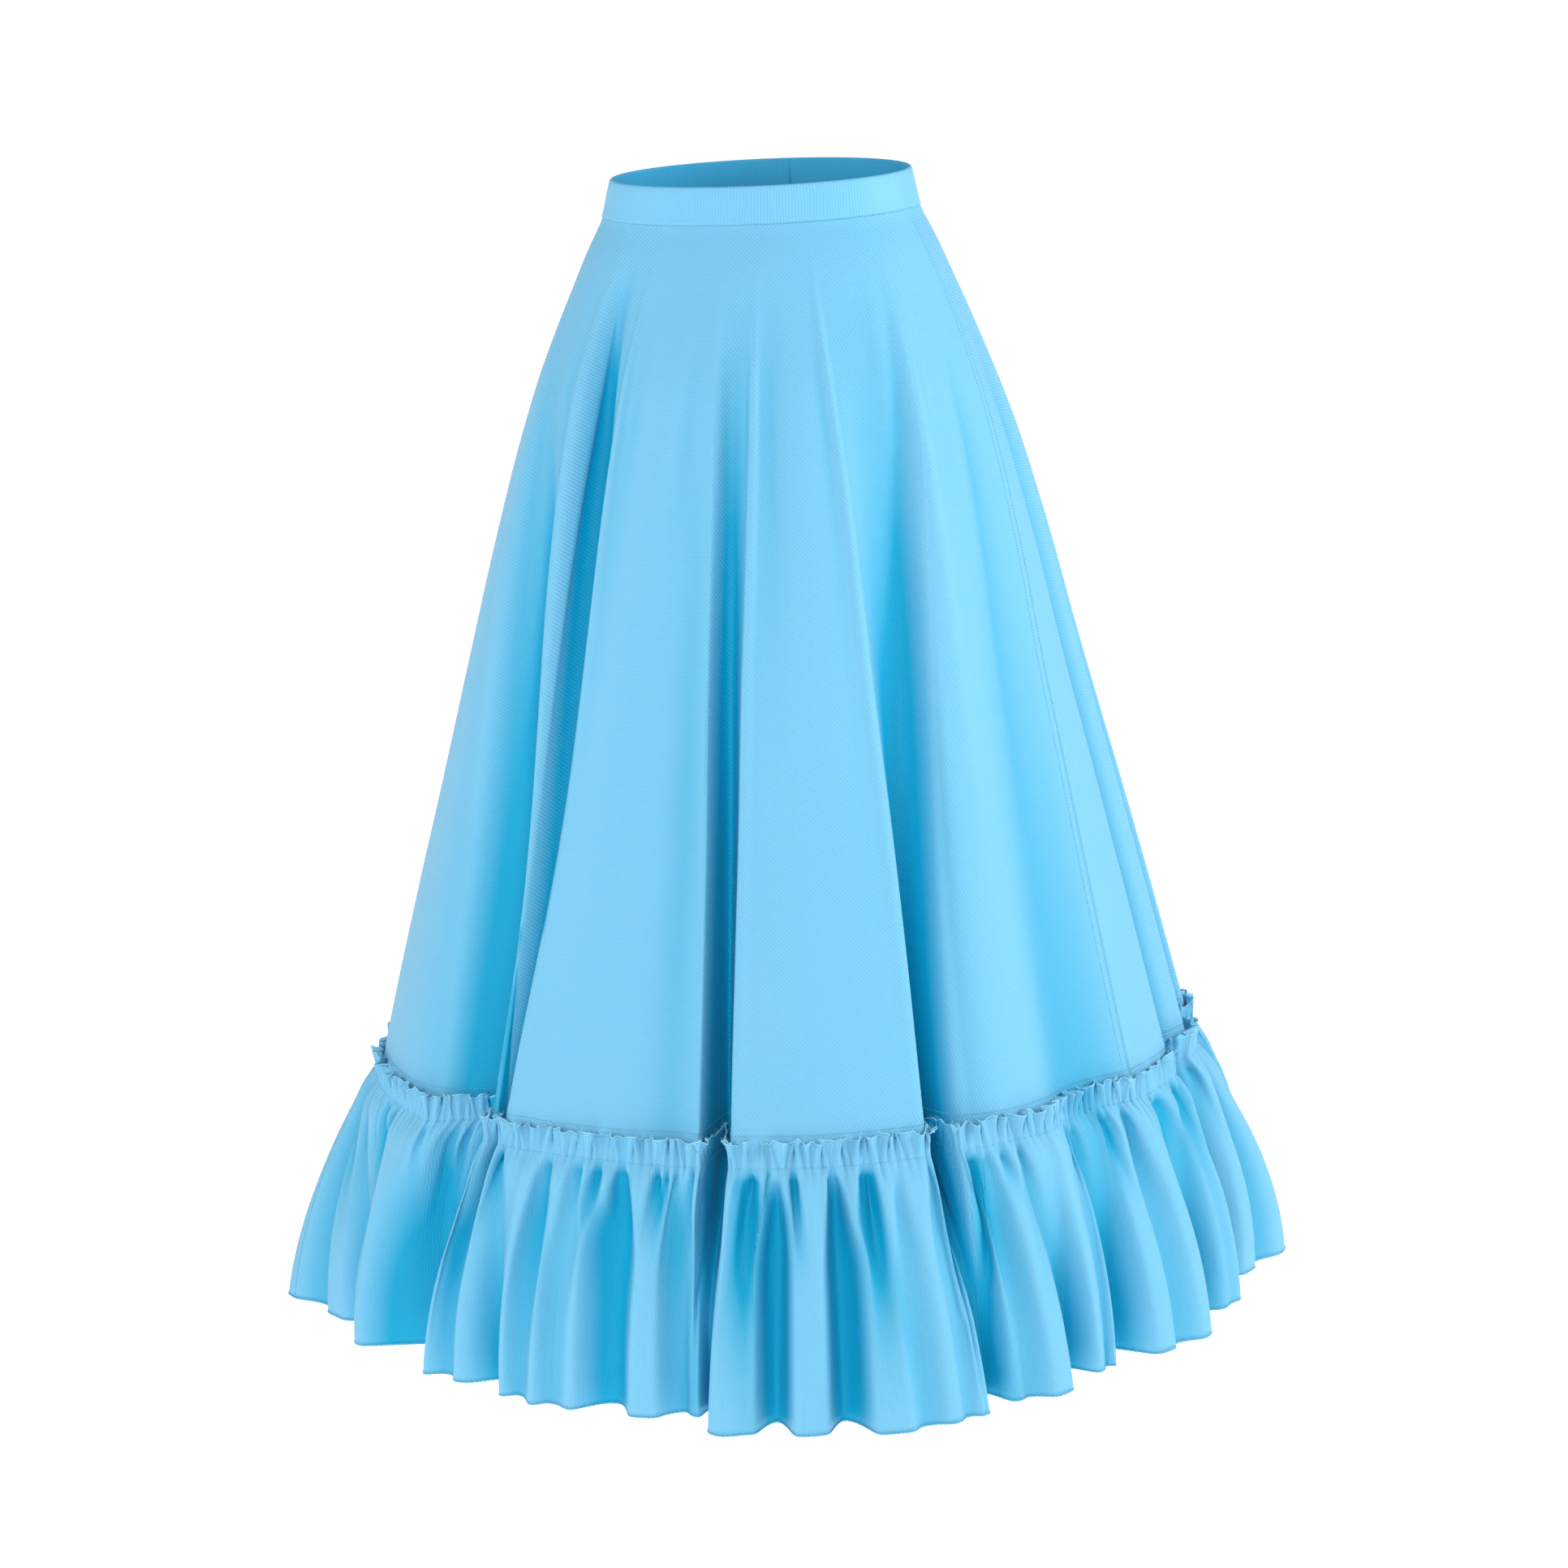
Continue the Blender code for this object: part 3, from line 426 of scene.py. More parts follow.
def along_table(places, values, at, period=None):
    """A smooth curve through a table: a cubic between knots, with the mean slopes at them."""
    places = np.asarray(places, float)
    values = np.asarray(values, float)
    if period:
        places = np.concatenate([places - period, places, places + period])
        values = np.tile(values, 3)
        first = places[len(values) // 3]
        at = (np.asarray(at, float) - first) % period + first
    slopes = np.gradient(values, places)
    at = np.clip(np.asarray(at, float), places[0], places[-1])
    left = np.clip(np.searchsorted(places, at, side="right") - 1, 0, len(places) - 2)
    span = places[left + 1] - places[left]
    s = (at - places[left]) / span
    return (
        (1 + 2 * s) * (1 - s) ** 2 * values[left]
        + s * (1 - s) ** 2 * span * slopes[left]
        + s**2 * (3 - 2 * s) * values[left + 1]
        + s**2 * (s - 1) * span * slopes[left + 1]
    )


def between(ends, share):
    """A value at a share of the way from the first to the second of two."""
    return ends[0] + (ends[1] - ends[0]) * share


def smooth_step(x):
    """0 below 0, 1 above 1 and a smooth rise between."""
    x = np.clip(x, 0, 1)
    return x * x * (3 - 2 * x)


def flank(share, crisp):
    """A trough's depth at a share of the way from its bottom, 0, to its lip, 1."""
    soft = (1 - share**3) ** 2
    sharp = 1 - share**2
    return soft + (sharp - soft) * crisp


def ring(drop):
    """Half width, half depth and centre shift of the envelope at a drop below the waist."""
    table = np.array(RINGS)
    return [along_table(table[:, 0], table[:, column], drop) for column in (1, 2, 3)]


def between_drops(above, middle, seam, drop):
    """The curve through three bearings at the three fold drops, a parabola, held above the top."""
    drops = np.array(FOLD_DROPS)
    here = np.clip(drop, FOLD_LIPS_FROM, None)
    first = (middle - above) / (drops[1] - drops[0])
    second = (seam - middle) / (drops[2] - drops[1])
    bend = (second - first) / (drops[2] - drops[0])
    return above + first * (here - drops[0]) + bend * (here - drops[0]) * (here - drops[1])


def fold_lips(drop):
    """Left lip, bottom and right lip of all the folds in one row, for each drop of a column."""
    above, middle, seam = (np.array([fold[k] for fold in FOLDS], float).ravel() for k in range(3))
    return between_drops(above, middle, seam, np.reshape(drop, (-1, 1)))


def trough_lips(table, share):
    """Left lip, bottom and right lip of a table's troughs in one row, for each share of the fall.

    At the gathers the crests between the troughs are kept near their width at the hem.
    """
    at_hem = np.array([row[0] for row in table], float)
    above = at_hem + (np.array([row[1] for row in table], float) - at_hem[:, 1])[:, None]
    turn = np.append(np.zeros(len(table) - 1), 360.0)
    wide = np.roll(at_hem[:, 0], -1) + turn - at_hem[:, 2]
    gap = np.roll(above[:, 0], -1) + turn - above[:, 2]
    change = (gap - np.clip(gap, CREST_KEPT[0] * wide, CREST_KEPT[1] * wide + CREST_ROOM)) / 2
    above[:, 2] = np.maximum(above[:, 2] + change, above[:, 1] + LIP_ROOM)
    above[:, 0] = np.minimum(above[:, 0] - np.roll(change, 1), above[:, 1] - LIP_ROOM)
    share = np.clip(np.reshape(share, (-1, 1, 1)), 0, 1)
    return (at_hem + (above - at_hem) * (1 - share)).reshape(len(share), -1)


def round_and_round(lips):
    """Rows of lips, with those one turn before and after on each side."""
    return np.concatenate([lips - 360, lips, lips + 360], axis=1)


def seated(column, lips):
    """The stretch between two neighbouring lips that each column is in, and its share of it."""
    lips = round_and_round(lips.reshape(1, -1))[0]
    stretch = np.clip(np.searchsorted(lips, column, side="right") - 1, 0, len(lips) - 2)
    return stretch, (column - lips[stretch]) / (lips[stretch + 1] - lips[stretch])


def carried(stretch, share, lips):
    """Bearings of all columns in each row, kept in place between the lips of that row."""
    lips = round_and_round(lips)
    return lips[:, stretch] * (1 - share) + lips[:, stretch + 1] * share


def trough_profile(stretch, share, left_crisp, right_crisp):
    """Each column's trough, and its share of that trough's depth: 1 at the bottom, 0 at a lip."""
    number = (stretch // 3) % len(left_crisp)
    kind = stretch % 3
    left = flank(1 - share, left_crisp[number])
    right = flank(share, right_crisp[number])
    return number, np.where(kind == 0, left, np.where(kind == 1, right, 0.0))


def softened(line, rounds):
    """A closed line, or rows of them, with each point drawn to its neighbours some rounds over."""
    for _ in range(rounds):
        line = (np.roll(line, 1, axis=-1) + 2 * line + np.roll(line, -1, axis=-1)) / 4
    return line


def level_normals(x, y):
    """Level outward normals of rows of closed lines that run with rising bearing."""
    along_x = np.roll(x, -1, axis=1) - np.roll(x, 1, axis=1)
    along_y = np.roll(y, -1, axis=1) - np.roll(y, 1, axis=1)
    size = np.hypot(along_x, along_y)
    return along_y / size, -along_x / size


def stretches(marks, counts):
    """Even steps in each stretch between neighbouring marks, with no mark twice."""
    steps = [np.linspace(*ends, count) for ends, count in zip(zip(marks, marks[1:]), counts)]
    return np.concatenate([steps[0]] + [step[1:] for step in steps[1:]])


def travelled(line):
    """Length from a line's start to each of its points."""
    step = np.linalg.norm(np.diff(line, axis=0), axis=1)
    return np.concatenate([[0.0], np.cumsum(step)])


def at_lengths(lengths, line, values):
    """What a line's points have, such as their places, at lengths from the line's start."""
    there = travelled(line)
    return np.stack([np.interp(lengths, there, values[:, k]) for k in range(3)], axis=1)


def directions(arrows):
    """Arrows, one in a row, each brought to length 1."""
    return arrows / np.linalg.norm(arrows, axis=1, keepdims=True)


def uneven(number, salt):
    """A steady figure from 0 to 1 for each whole number, with no order to the eye."""
    wave = np.sin(np.asarray(number, float) * 12.9898 + salt * 78.233) * 43758.5453
    return wave - np.floor(wave)


# The body


def body_drops():
    """Rows of the body: close at the waist seam and the flounce, wider apart between."""
    return stretches(BODY_STRETCHES, BODY_ROWS)


def body_line_at(bearing, drop):
    """Points of the body's middle line at one drop, for columns given by their bearings there."""
    stretch, share = seated(bearing, fold_lips(drop))
    return body_points(stretch, share, np.array([drop]))[:2]


def body_points(stretch, share, drops):
    """Rows of X and Y on the body's middle surface, and how deep in a fold each point lies.

    A point is on the ring's ellipse at its bearing plus lean, moved out by its panel's stand and
    in by its fold's depth.
    """
    folds = np.array([fold[3:9] for fold in FOLDS], float)
    start, depth, tilt, left_crisp, right_crisp, stands = folds.T
    number, profile = trough_profile(stretch, share, left_crisp, right_crisp)
    bearing = carried(stretch, share, fold_lips(drops))
    down = drops[:, None]
    run = np.clip((down - start[number]) / (SEAM_DROP - start[number]), 0, 1)
    inward = depth[number] * profile * run**FOLDS_DEEPEN
    lean = tilt[number] * profile * run
    bottoms = fold_lips(SEAM_DROP)[0, 1::3]
    middles = (bottoms + np.append(bottoms[1:], bottoms[0] + 360)) / 2
    at_seam = carried(stretch, share, fold_lips(SEAM_DROP))[0]
    stand = along_table(middles, stands, at_seam, 360.0) * smooth_step(down / SEAM_DROP)
    half_width, half_depth, shift = (size[:, None] for size in ring(drops))
    angle = np.radians(bearing + lean)
    out = stand - inward
    x = shift + (half_width + out) * np.sin(angle)
    y = -(half_depth + out) * np.cos(angle)
    return x, y, bearing, inward


def even_columns(line, low, high, count):
    """Bearings that part a line into even lengths, and closer together where it bends tightly."""
    fine = np.linspace(low, high, LINE_POINTS)
    x, y = (values.ravel() for values in line(fine))
    step = np.hypot(np.diff(x), np.diff(y))
    heading = np.unwrap(np.arctan2(np.diff(y), np.diff(x)))
    near = np.ones(BEND_REACH) / BEND_REACH
    turn = np.convolve(np.abs(np.gradient(heading)), near, mode="same")
    travelled = np.concatenate([[0.0], np.cumsum(step + BEND_WEIGHT * turn)])
    return np.interp(np.linspace(0, travelled[-1], count + 1), travelled, fine)


def soft_ridges(bearing, drops):
    """How far the soft ridges and shallow troughs move the body's cloth out.

    Each is a bell curve across its width, and rises and fades smoothly down its length.
    """
    down = drops[:, None]
    out = np.zeros_like(bearing)
    for places, half_width, height, begins, highest, gone in SOFT_RIDGES:
        middle = between_drops(*places, down)
        away = (bearing - middle + 180) % 360 - 180
        rise = smooth_step((down - begins) / (highest - begins))
        fade = 1 - smooth_step((down - highest) / (gone - highest))
        out = out + height * rise * fade * np.exp(-((away / half_width) ** 2))
    return out


def near_soft_lips(bearing, drops):
    """1 at the folds' soft lips, with a bell curve to 0 beside them."""
    lips = fold_lips(drops)
    near = np.zeros_like(bearing)
    for number, fold in enumerate(FOLDS):
        for crisp, lip in ((fold[6], lips[:, 3 * number]), (fold[7], lips[:, 3 * number + 2])):
            if crisp <= SOFT_CRISP:
                away = (bearing - lip[:, None] + 180) % 360 - 180
                near = np.maximum(near, np.exp(-((away / SOFT_LIP_WIDTH) ** 2)))
    return near


def side_seam_grooves(x, y, seams):
    """How deep the cloth dips along its side seams: a narrow bell curve of the distance to them."""
    groove = np.zeros_like(x)
    for column in seams:
        away = np.hypot(x - x[:, [column]], y - y[:, [column]])
        groove = groove + np.exp(-((away / SEAM_DIP_WIDTH) ** 2))
    return SEAM_DIP * groove


def seam_puckers(x, y, drops):
    """Small upright puckers where the flounce is sewn on, dying out above it.

    Two waves along the cloth, of unlike lengths, times a fall-off with height.
    """
    step = np.hypot(np.diff(x, axis=1, append=x[:, :1]), np.diff(y, axis=1, append=y[:, :1]))
    along = np.cumsum(step, axis=1)
    near = np.exp(-(np.clip(SEAM_DROP - HEADING_HEIGHT - drops[:, None], 0, None) / PUCKER_HEIGHT))
    turns = 2 * np.pi * along / PUCKER_PITCH
    wave = np.sin(turns) * 0.6 + np.sin(turns * 0.53 + 1) * 0.4
    return PUCKER * wave * near * (0.4 + 0.6 * np.sin(turns * 0.11) ** 2)


def body_surface():
    """The body as rows of closed lines: points, level normals, painted fold shade and level grain.
    """
    left, right = SIDE_SEAM_BEARINGS

    def seam(at):
        return body_line_at(at, SEAM_DROP)

    front = even_columns(seam, left, right, FRONT_COLUMNS)
    back = even_columns(seam, right, left + 360.0, BACK_COLUMNS)
    columns = np.concatenate([front[:-1], back[:-1]])
    stretch, share = seated(columns, fold_lips(SEAM_DROP))
    drops = body_drops()
    x, y, bearing, inward = body_points(stretch, share, drops)
    near = near_soft_lips(bearing, drops)
    x = softened(x, EDGE_ROUNDS) * (1 - near) + softened(x, LIP_ROUNDS) * near
    y = softened(y, EDGE_ROUNDS) * (1 - near) + softened(y, LIP_ROUNDS) * near
    normal_x, normal_y = level_normals(x, y)
    out = soft_ridges(bearing, drops)
    bent_in = -turning(x + normal_x * out, y + normal_y * out)
    hollow = np.clip(bent_in * HOLLOW_SHADE, 0, HOLLOW_MOST)
    sunk = np.clip(-out, 0, None)
    out = out - side_seam_grooves(x, y, (0, FRONT_COLUMNS))
    out = out + seam_puckers(x, y, drops)
    x = x + normal_x * out
    y = y + normal_y * out
    z = -drops[:, None] - waist_tilt(np.radians(bearing), drops[:, None])
    points = np.stack([x, y, z], axis=2)
    normal_x, normal_y = level_normals(x, y)
    normals = np.stack([normal_x, normal_y, np.zeros_like(normal_x)], axis=2)
    # Painted shade: darker colour in the folds, soft troughs and inward bends, faded in near the
    # waist
    below_waist = smooth_step((drops[:, None] - HOLLOW_FROM) / HOLLOW_OVER)
    painted_shade = np.clip((inward + sunk) / DEEP_FOLD + hollow * below_waist, 0, 1)
    level = sum(
        smooth_step((bearing - low) / LEVEL_FADES) * smooth_step((high - bearing) / LEVEL_FADES)
        for low, high in LEVEL_GRAIN
    )
    return points, normals, painted_shade, LEVEL_SHARE * level


def waist_tilt(angle, drop):
    """How far the waist's slope lowers the cloth: most at the front, and gone further down."""
    return WAIST_TILT * np.cos(angle) * (1 - smooth_step(drop / TILT_GONE_BY))


# The flounce


def round_outline(x, y):
    """Greatest distance from the axis of a line of points, at each bearing of an even circle."""
    size = 360 * CIRCLE_STEPS
    place = np.degrees(np.arctan2(x, -y)) * CIRCLE_STEPS
    reach = np.zeros(size)
    np.maximum.at(reach, np.round(place).astype(int) % size, np.hypot(x, y))
    return reach


def thickened(reach, distance):
    """A round outline moved out by a distance, or in where it is negative.

    It is the outermost, or innermost, of the circles of that radius about the outline's points.
    """
    size = len(reach)
    most = int(np.ceil(abs(distance) / reach.min() * size / (2 * np.pi)))
    moved = reach + distance
    for shift in range(-most, most + 1):
        beside = np.roll(reach, shift)
        angle = 2 * np.pi * shift / size
        across = distance**2 - (beside * np.sin(angle)) ** 2
        edge = beside * np.cos(angle) + np.sign(distance) * np.sqrt(np.maximum(across, 0))
        if distance > 0:
            moved = np.where(across > 0, np.maximum(moved, edge), moved)
        else:
            moved = np.where(across > 0, np.minimum(moved, edge), moved)
    return moved


def flounce_seat(drop, stand, tightest=TIGHTEST_TURN):
    """Distance from the axis, round a circle, of a line that follows the body at a stand-off.

    It bridges the folds that are too narrow for it: the body's outline is thickened by more than
    the stand-off and thinned again by the tightest turn's radius.
    """
    bearing = np.linspace(-180, 180, 360 * CIRCLE_STEPS * 16, endpoint=False)
    x, y = (values.ravel() for values in body_line_at(bearing, drop))
    bridged = thickened(round_outline(x, y), stand + tightest)
    return thickened(bridged, -tightest)


def flounce_shares():
    """Rows of the flounce: the heading from -1 to 0, then the fall to 1, close at the gathers."""
    return stretches(FLOUNCE_STRETCHES, FLOUNCE_ROWS)


def round_circle(bearing, seat):
    """What a line round the circle has, such as its distance from the axis, at each bearing."""
    circle = np.arange(-len(seat), 2 * len(seat)) / CIRCLE_STEPS
    return np.interp(bearing, circle, np.tile(seat, 3))


def seat_columns(seat):
    """Bearings at the gathers of all the flounce's columns, first the front's, then the back's."""

    def line(at):
        here = round_circle(at, seat)
        return here * np.sin(np.radians(at)), -here * np.cos(np.radians(at))

    left, right = SIDE_SEAM_BEARINGS
    front = even_columns(line, left, right, GATHERS_FRONT * COLUMNS_PER_GATHER)
    back = even_columns(line, right, left + 360.0, GATHERS_BACK * COLUMNS_PER_GATHER)
    return np.concatenate([front[:-1], back[:-1]])


def flounce_form(columns, seats, shares):
    """Distances and bearings of the flounce without its gathers, and how deep each trough is.

    Below the gathers the cloth goes from its seat to the hem's reach, less its troughs' depths.
    """
    stretch, part = seated(columns, trough_lips(RUFFLE_TROUGHS, 0.0))
    bearing = carried(stretch, part, trough_lips(RUFFLE_TROUGHS, shares))
    at_hem = carried(stretch, part, trough_lips(RUFFLE_TROUGHS, 1.0))[0]
    fall = np.clip(shares, 0, 1)[:, None]
    top, heading = (round_circle(columns, seat) for seat in seats)
    lifted = np.clip(-shares, 0, 1)[:, None]
    flared = BODY_FLARE * (HEM_DROP - SEAM_DROP) * fall
    top = top + (heading - top) * (1 - (1 - lifted) ** 1.8) + flared
    table = np.array(HEM_REACH)
    crest = along_table(table[:, 0], table[:, 1], at_hem, 360.0)
    depth, left_crisp, right_crisp = np.array([row[2:] for row in RUFFLE_TROUGHS]).T
    number, profile = trough_profile(stretch, part, left_crisp, right_crisp)
    inward = depth[number] * profile * (1 - (1 - fall) ** TROUGHS_DEEPEN)
    ease = 1 - (1 - fall) ** FLOUNCE_BULGE
    reach = top + (crest - inward - top) * ease
    return reach, bearing, inward * ease, at_hem


def pinches(columns, seats):
    """How far the cloth is drawn into the folds that its seats bridge, at gathers and heading.

    It is how much further in a closer line with tighter turns lies, less the difference between
    the two stand-offs.
    """
    drawn = []
    for seat, drop, lean in zip(seats, (SEAM_DROP, SEAM_DROP - HEADING_HEIGHT), (0, HEADING_OUT)):
        followed = flounce_seat(drop, CLOSE_STAND + lean, CLOSE_TURN)
        closer = np.clip(seat - followed - (FLOUNCE_STAND - CLOSE_STAND), 0, None)
        drawn.append(round_circle(columns, softened(closer, 4)))
    return drawn


def flute_creases(at_hem, shares):
    """How far the narrower creases draw the flounce in.

    Each is a trough with its own lips, is narrow at the gathers and deepens quickly below them.
    """
    fall = np.clip(shares, 0, 1)[:, None]
    opened = CREASES_NARROW + (1 - CREASES_NARROW) * smooth_step(fall / CREASES_OPEN_BY)
    inward = np.zeros((len(shares), len(at_hem)))
    for left, bottom, right, depth, left_crisp, right_crisp in FLUTE_CREASES:
        away = ((at_hem - bottom + 180) % 360 - 180)[None, :] / opened
        before = flank(np.clip(-away / (bottom - left), 0, 1), left_crisp)
        after = flank(np.clip(away / (right - bottom), 0, 1), right_crisp)
        inward = inward + depth * np.where(away < 0, before, after)
    return inward * (1 - np.exp(-np.clip(fall - CREASES_START, 0, 1) / CREASES_DEEPEN))


def gather_swing(shares, count):
    """How far the gathers move the cloth out or in, for each row and column.

    A valley lies at each gather, with its own depth, width and place. Most are shallow bell
    curves across, and some are long and steep-sided. Each is narrow at the stitches and widens
    below, where it dies out after its own share of the fall. Above the stitches, in the heading,
    it deepens to the edge, and each tooth leans out by its own amount.
    """
    phase = np.arange(count * COLUMNS_PER_GATHER)[None, :] / COLUMNS_PER_GATHER
    fall = np.clip(shares, 0, 1)[:, None]
    lifted = np.clip(-shares, 0, 1)[:, None]
    opened = smooth_step((fall - VALLEYS_OPEN_FROM) / VALLEYS_OPEN_OVER)
    swing = np.zeros((len(shares), phase.shape[1]))
    for beside in range(-VALLEYS_BESIDE, VALLEYS_BESIDE + 1):
        valley = np.round(phase) + beside
        number = valley % count
        away = phase - valley - VALLEY_WANDER * (uneven(number, 3) - 0.5)
        long = uneven(number, 4) < LONG_ONES
        pick = uneven(number, 1)
        fade = np.where(long, between(LONG_FADES, pick**1.5), between(SHORT_FADES, pick**2))
        below = uneven(number, 2)
        below = np.where(long, between(LONG_DEPTHS, below), between(GATHER_DEPTHS, below))
        at_stitches = between(STITCHED_DEPTHS, uneven(number, 5))
        at_edge = between(HEADING_DEPTHS, uneven(number, 6))
        size = at_stitches + (below - at_stitches) * opened + (at_edge - at_stitches) * lifted**1.4
        size = size * np.exp(-((fall / fade) ** 1.6))
        width = np.where(long, LONG_WIDTH + LONG_OPENS * fall, VALLEY_WIDTH + VALLEY_OPENS * fall)
        width = width * between(VALLEY_WIDTHS, uneven(number, 8))
        across = np.abs(away / width) ** np.where(long, 3.0, 2.0)
        swing = swing - size * np.exp(-across)
        lean = between(TOOTH_LEANS, uneven(number, 7)) * lifted**2
        swing = swing + lean * np.exp(-(((away - 0.5) / TOOTH_HALF) ** 2))
    return swing + VALLEYS_MIDDLE


def heading_teeth(columns, lifted):
    """How far the heading's teeth twist sideways and rise, for each row and column.

    Both are sums of waves of unlike lengths along the gathers, and grow to the heading's edge. The
    rise has an arch between each two gathers as well.
    """
    number = np.arange(columns) / COLUMNS_PER_GATHER
    wander = np.sin(number * 2.1 + 2 * np.sin(number * 0.37)) + 0.5 * np.sin(number * 3.7)
    ears = np.sin(number * 2.3 + np.sin(number * 0.9)) + 0.8 * np.sin(number * 5.1 + 1)
    arches = np.abs(np.sin(np.pi * number)) ** 0.5
    rise = EAR_RISE * (0.6 * ears + 0.9 * arches - 1.2)
    return TOOTH_TWIST * wander * lifted**1.6, rise * lifted


def flounce_surface():
    """The whole flounce as rows of closed lines: points, level normals and painted shade in its
    troughs.

    Its form less its creases and pinches, with a puff below the stitches, is moved along its level
    normals by the gathers. They are calmer where the cloth turns sharply, lies deep or faces aside.
    """
    seats = (
        flounce_seat(SEAM_DROP, FLOUNCE_STAND),
        flounce_seat(SEAM_DROP - HEADING_HEIGHT, FLOUNCE_STAND + HEADING_OUT),
    )
    columns = seat_columns(seats[0])
    shares = flounce_shares()
    reach, bearing, inward, at_hem = flounce_form(columns, seats, shares)
    creases = flute_creases(at_hem, shares)
    reach = reach - creases
    pinch, pinch_above = pinches(columns, seats)
    lifted = np.clip(-shares, 0, 1)[:, None]
    followed = 1 - smooth_step((shares[:, None] - CLOSE_UNTIL) / CLOSE_FADES)
    reach = reach - (pinch + (pinch_above - pinch) * lifted) * followed
    puffed = np.clip(shares / PUFF_AT, 0, None)
    reach = reach + (PUFF_OUT * np.clip(puffed, 0, 1) * np.exp(1 - puffed))[:, None]
    angle = np.radians(bearing)
    x = softened(reach * np.sin(angle), EDGE_ROUNDS)
    y = softened(-reach * np.cos(angle), EDGE_ROUNDS)
    normal_x, normal_y = level_normals(x, y)
    turn = turning(x, y)
    swing = gather_swing(shares, GATHERS_FRONT + GATHERS_BACK)
    roomy = np.clip(1 - np.abs(turn) * TURN_CALM, CALMEST_TURN, 1)
    hollow = hollowness(np.hypot(x, y))
    facing = (normal_x * x + normal_y * y) / np.hypot(x, y)
    steep = softened(1 - smooth_step((facing - STEEP_FACING) / STEEP_FADES), 6)
    sheltered = SHELTER_CALM * np.clip(hollow / SHELTER_DEEP, 0, 1)
    sheltered = sheltered * smooth_step((shares[:, None] + 0.02) / 0.12)
    swing = swing * roomy * (1 - TROUGH_CALM * np.maximum(steep, sheltered))
    x = x + normal_x * swing
    y = y + normal_y * swing
    twist, rise = heading_teeth(x.shape[1], lifted)
    x = x - normal_y * twist
    y = y + normal_x * twist
    fall = np.clip(shares, 0, 1)[:, None]
    z = -SEAM_DROP + HEADING_HEIGHT * lifted - (HEM_DROP - SEAM_DROP) * fall + rise
    points = np.stack([x, y, z], axis=2)
    normal_x, normal_y = level_normals(x, y)
    normals = np.stack([normal_x, normal_y, np.zeros_like(normal_x)], axis=2)
    # Painted shade: darker colour in the troughs, creases, hollows between crests and the gathers'
    # valleys
    sunk = np.clip(-swing, 0, None)
    sunk = sunk * smooth_step((shares[:, None] + 0.03) / 0.06)
    trough = np.maximum(inward + creases * CREASE_SHADE_PAINT, hollow)
    return points, normals, np.clip(trough / DEEP_TROUGH + sunk / DEEP_GATHER, 0, 1)


def hollowness(reach):
    """How far each point lies inside the lower of the highest crests near it on its two sides.

    The highest reach within 55 columns is found on each side by steps that grow.
    """
    before, after = reach, reach
    for step in (1, 2, 4, 8, 16, 24):
        before = np.maximum(before, np.roll(before, step, axis=1))
        after = np.maximum(after, np.roll(after, -step, axis=1))
    return np.clip(softened(np.minimum(before, after), 20) - reach, 0, None)


def turning(x, y):
    """How sharply rows of closed lines turn: radians in a metre, over a few columns each way."""

    def across(values):
        return np.roll(values, -2, axis=1) - np.roll(values, 2, axis=1)

    heading = np.arctan2(np.roll(y, -2, axis=1) - y, np.roll(x, -2, axis=1) - x)
    change = (across(heading) + np.pi) % (2 * np.pi) - np.pi
    return softened(change / np.maximum(np.hypot(across(x), across(y)), 0.001), 4)


# Meshes


def new_piece(name, points, faces, material, smooth=True, caps=()):
    """A piece from arrays of points and of faces' corners, with its material and its end caps."""
    mesh = bpy.data.meshes.new(name)
    mesh.from_pydata(points.reshape(-1, 3).tolist(), [], faces.tolist() + list(caps))
    mesh.materials.append(material)
    if smooth:
        mesh.shade_smooth()
    piece = bpy.data.objects.new(name, mesh)
    bpy.context.scene.collection.objects.link(piece)
    return piece


def grid_faces(rows, columns, closed, first=0):
    """Four-cornered faces of a grid whose rows go down and whose columns go to rising bearing."""
    wide = columns if closed else columns - 1
    row = np.arange(rows - 1)[:, None] * columns
    here = np.arange(wide)[None, :]
    after = (here + 1) % columns
    corners = [row + here, row + columns + here, row + columns + after, row + after]
    return np.stack(corners, axis=2).reshape(-1, 4) + first


def shell(name, points, normals, thickness, uv, painted_shade, material):
    """A thin closed wall round an open grid of middle points, with its UV map and painted shade
    attribute.

    The outer and the inner grid lie half the thickness each side, and strips close the rims.
    """
    rows, columns = points.shape[:2]
    size = rows * columns
    outer = points + normals * thickness / 2
    inner = points - normals * thickness / 2
    front = grid_faces(rows, columns, False)
    behind = grid_faces(rows, columns, False, size)[:, ::-1]
    place = np.arange(size).reshape(rows, columns)
    rims = []
    for line in (place[0, ::-1], place[-1], place[:, 0], place[::-1, -1]):
        rims.append(np.stack([line[:-1], line[:-1] + size, line[1:] + size, line[1:]], axis=1))
    faces = np.concatenate([front, behind] + rims)
    piece = new_piece(name, np.stack([outer, inner]), faces, material)
    give_uv(piece.data, faces, np.tile(uv.reshape(-1, 2), (2, 1)))
    give_share(piece.data, "painted_fold_shade", np.tile(painted_shade.ravel(), 2))
    return piece


def give_uv(mesh, faces, uv):
    """A UV map in metres along and down the cloth, from one place for each point."""
    layer = mesh.uv_layers.new(name="cloth")
    layer.data.foreach_set("uv", uv[faces.ravel()].ravel().astype(np.float32))


def give_share(mesh, name, values):
    """A share from 0 to 1 for each point, as an attribute that the cloth's finish reads."""
    layer = mesh.attributes.new(name, "FLOAT", "POINT")
    layer.data.foreach_set("value", values.astype(np.float32))


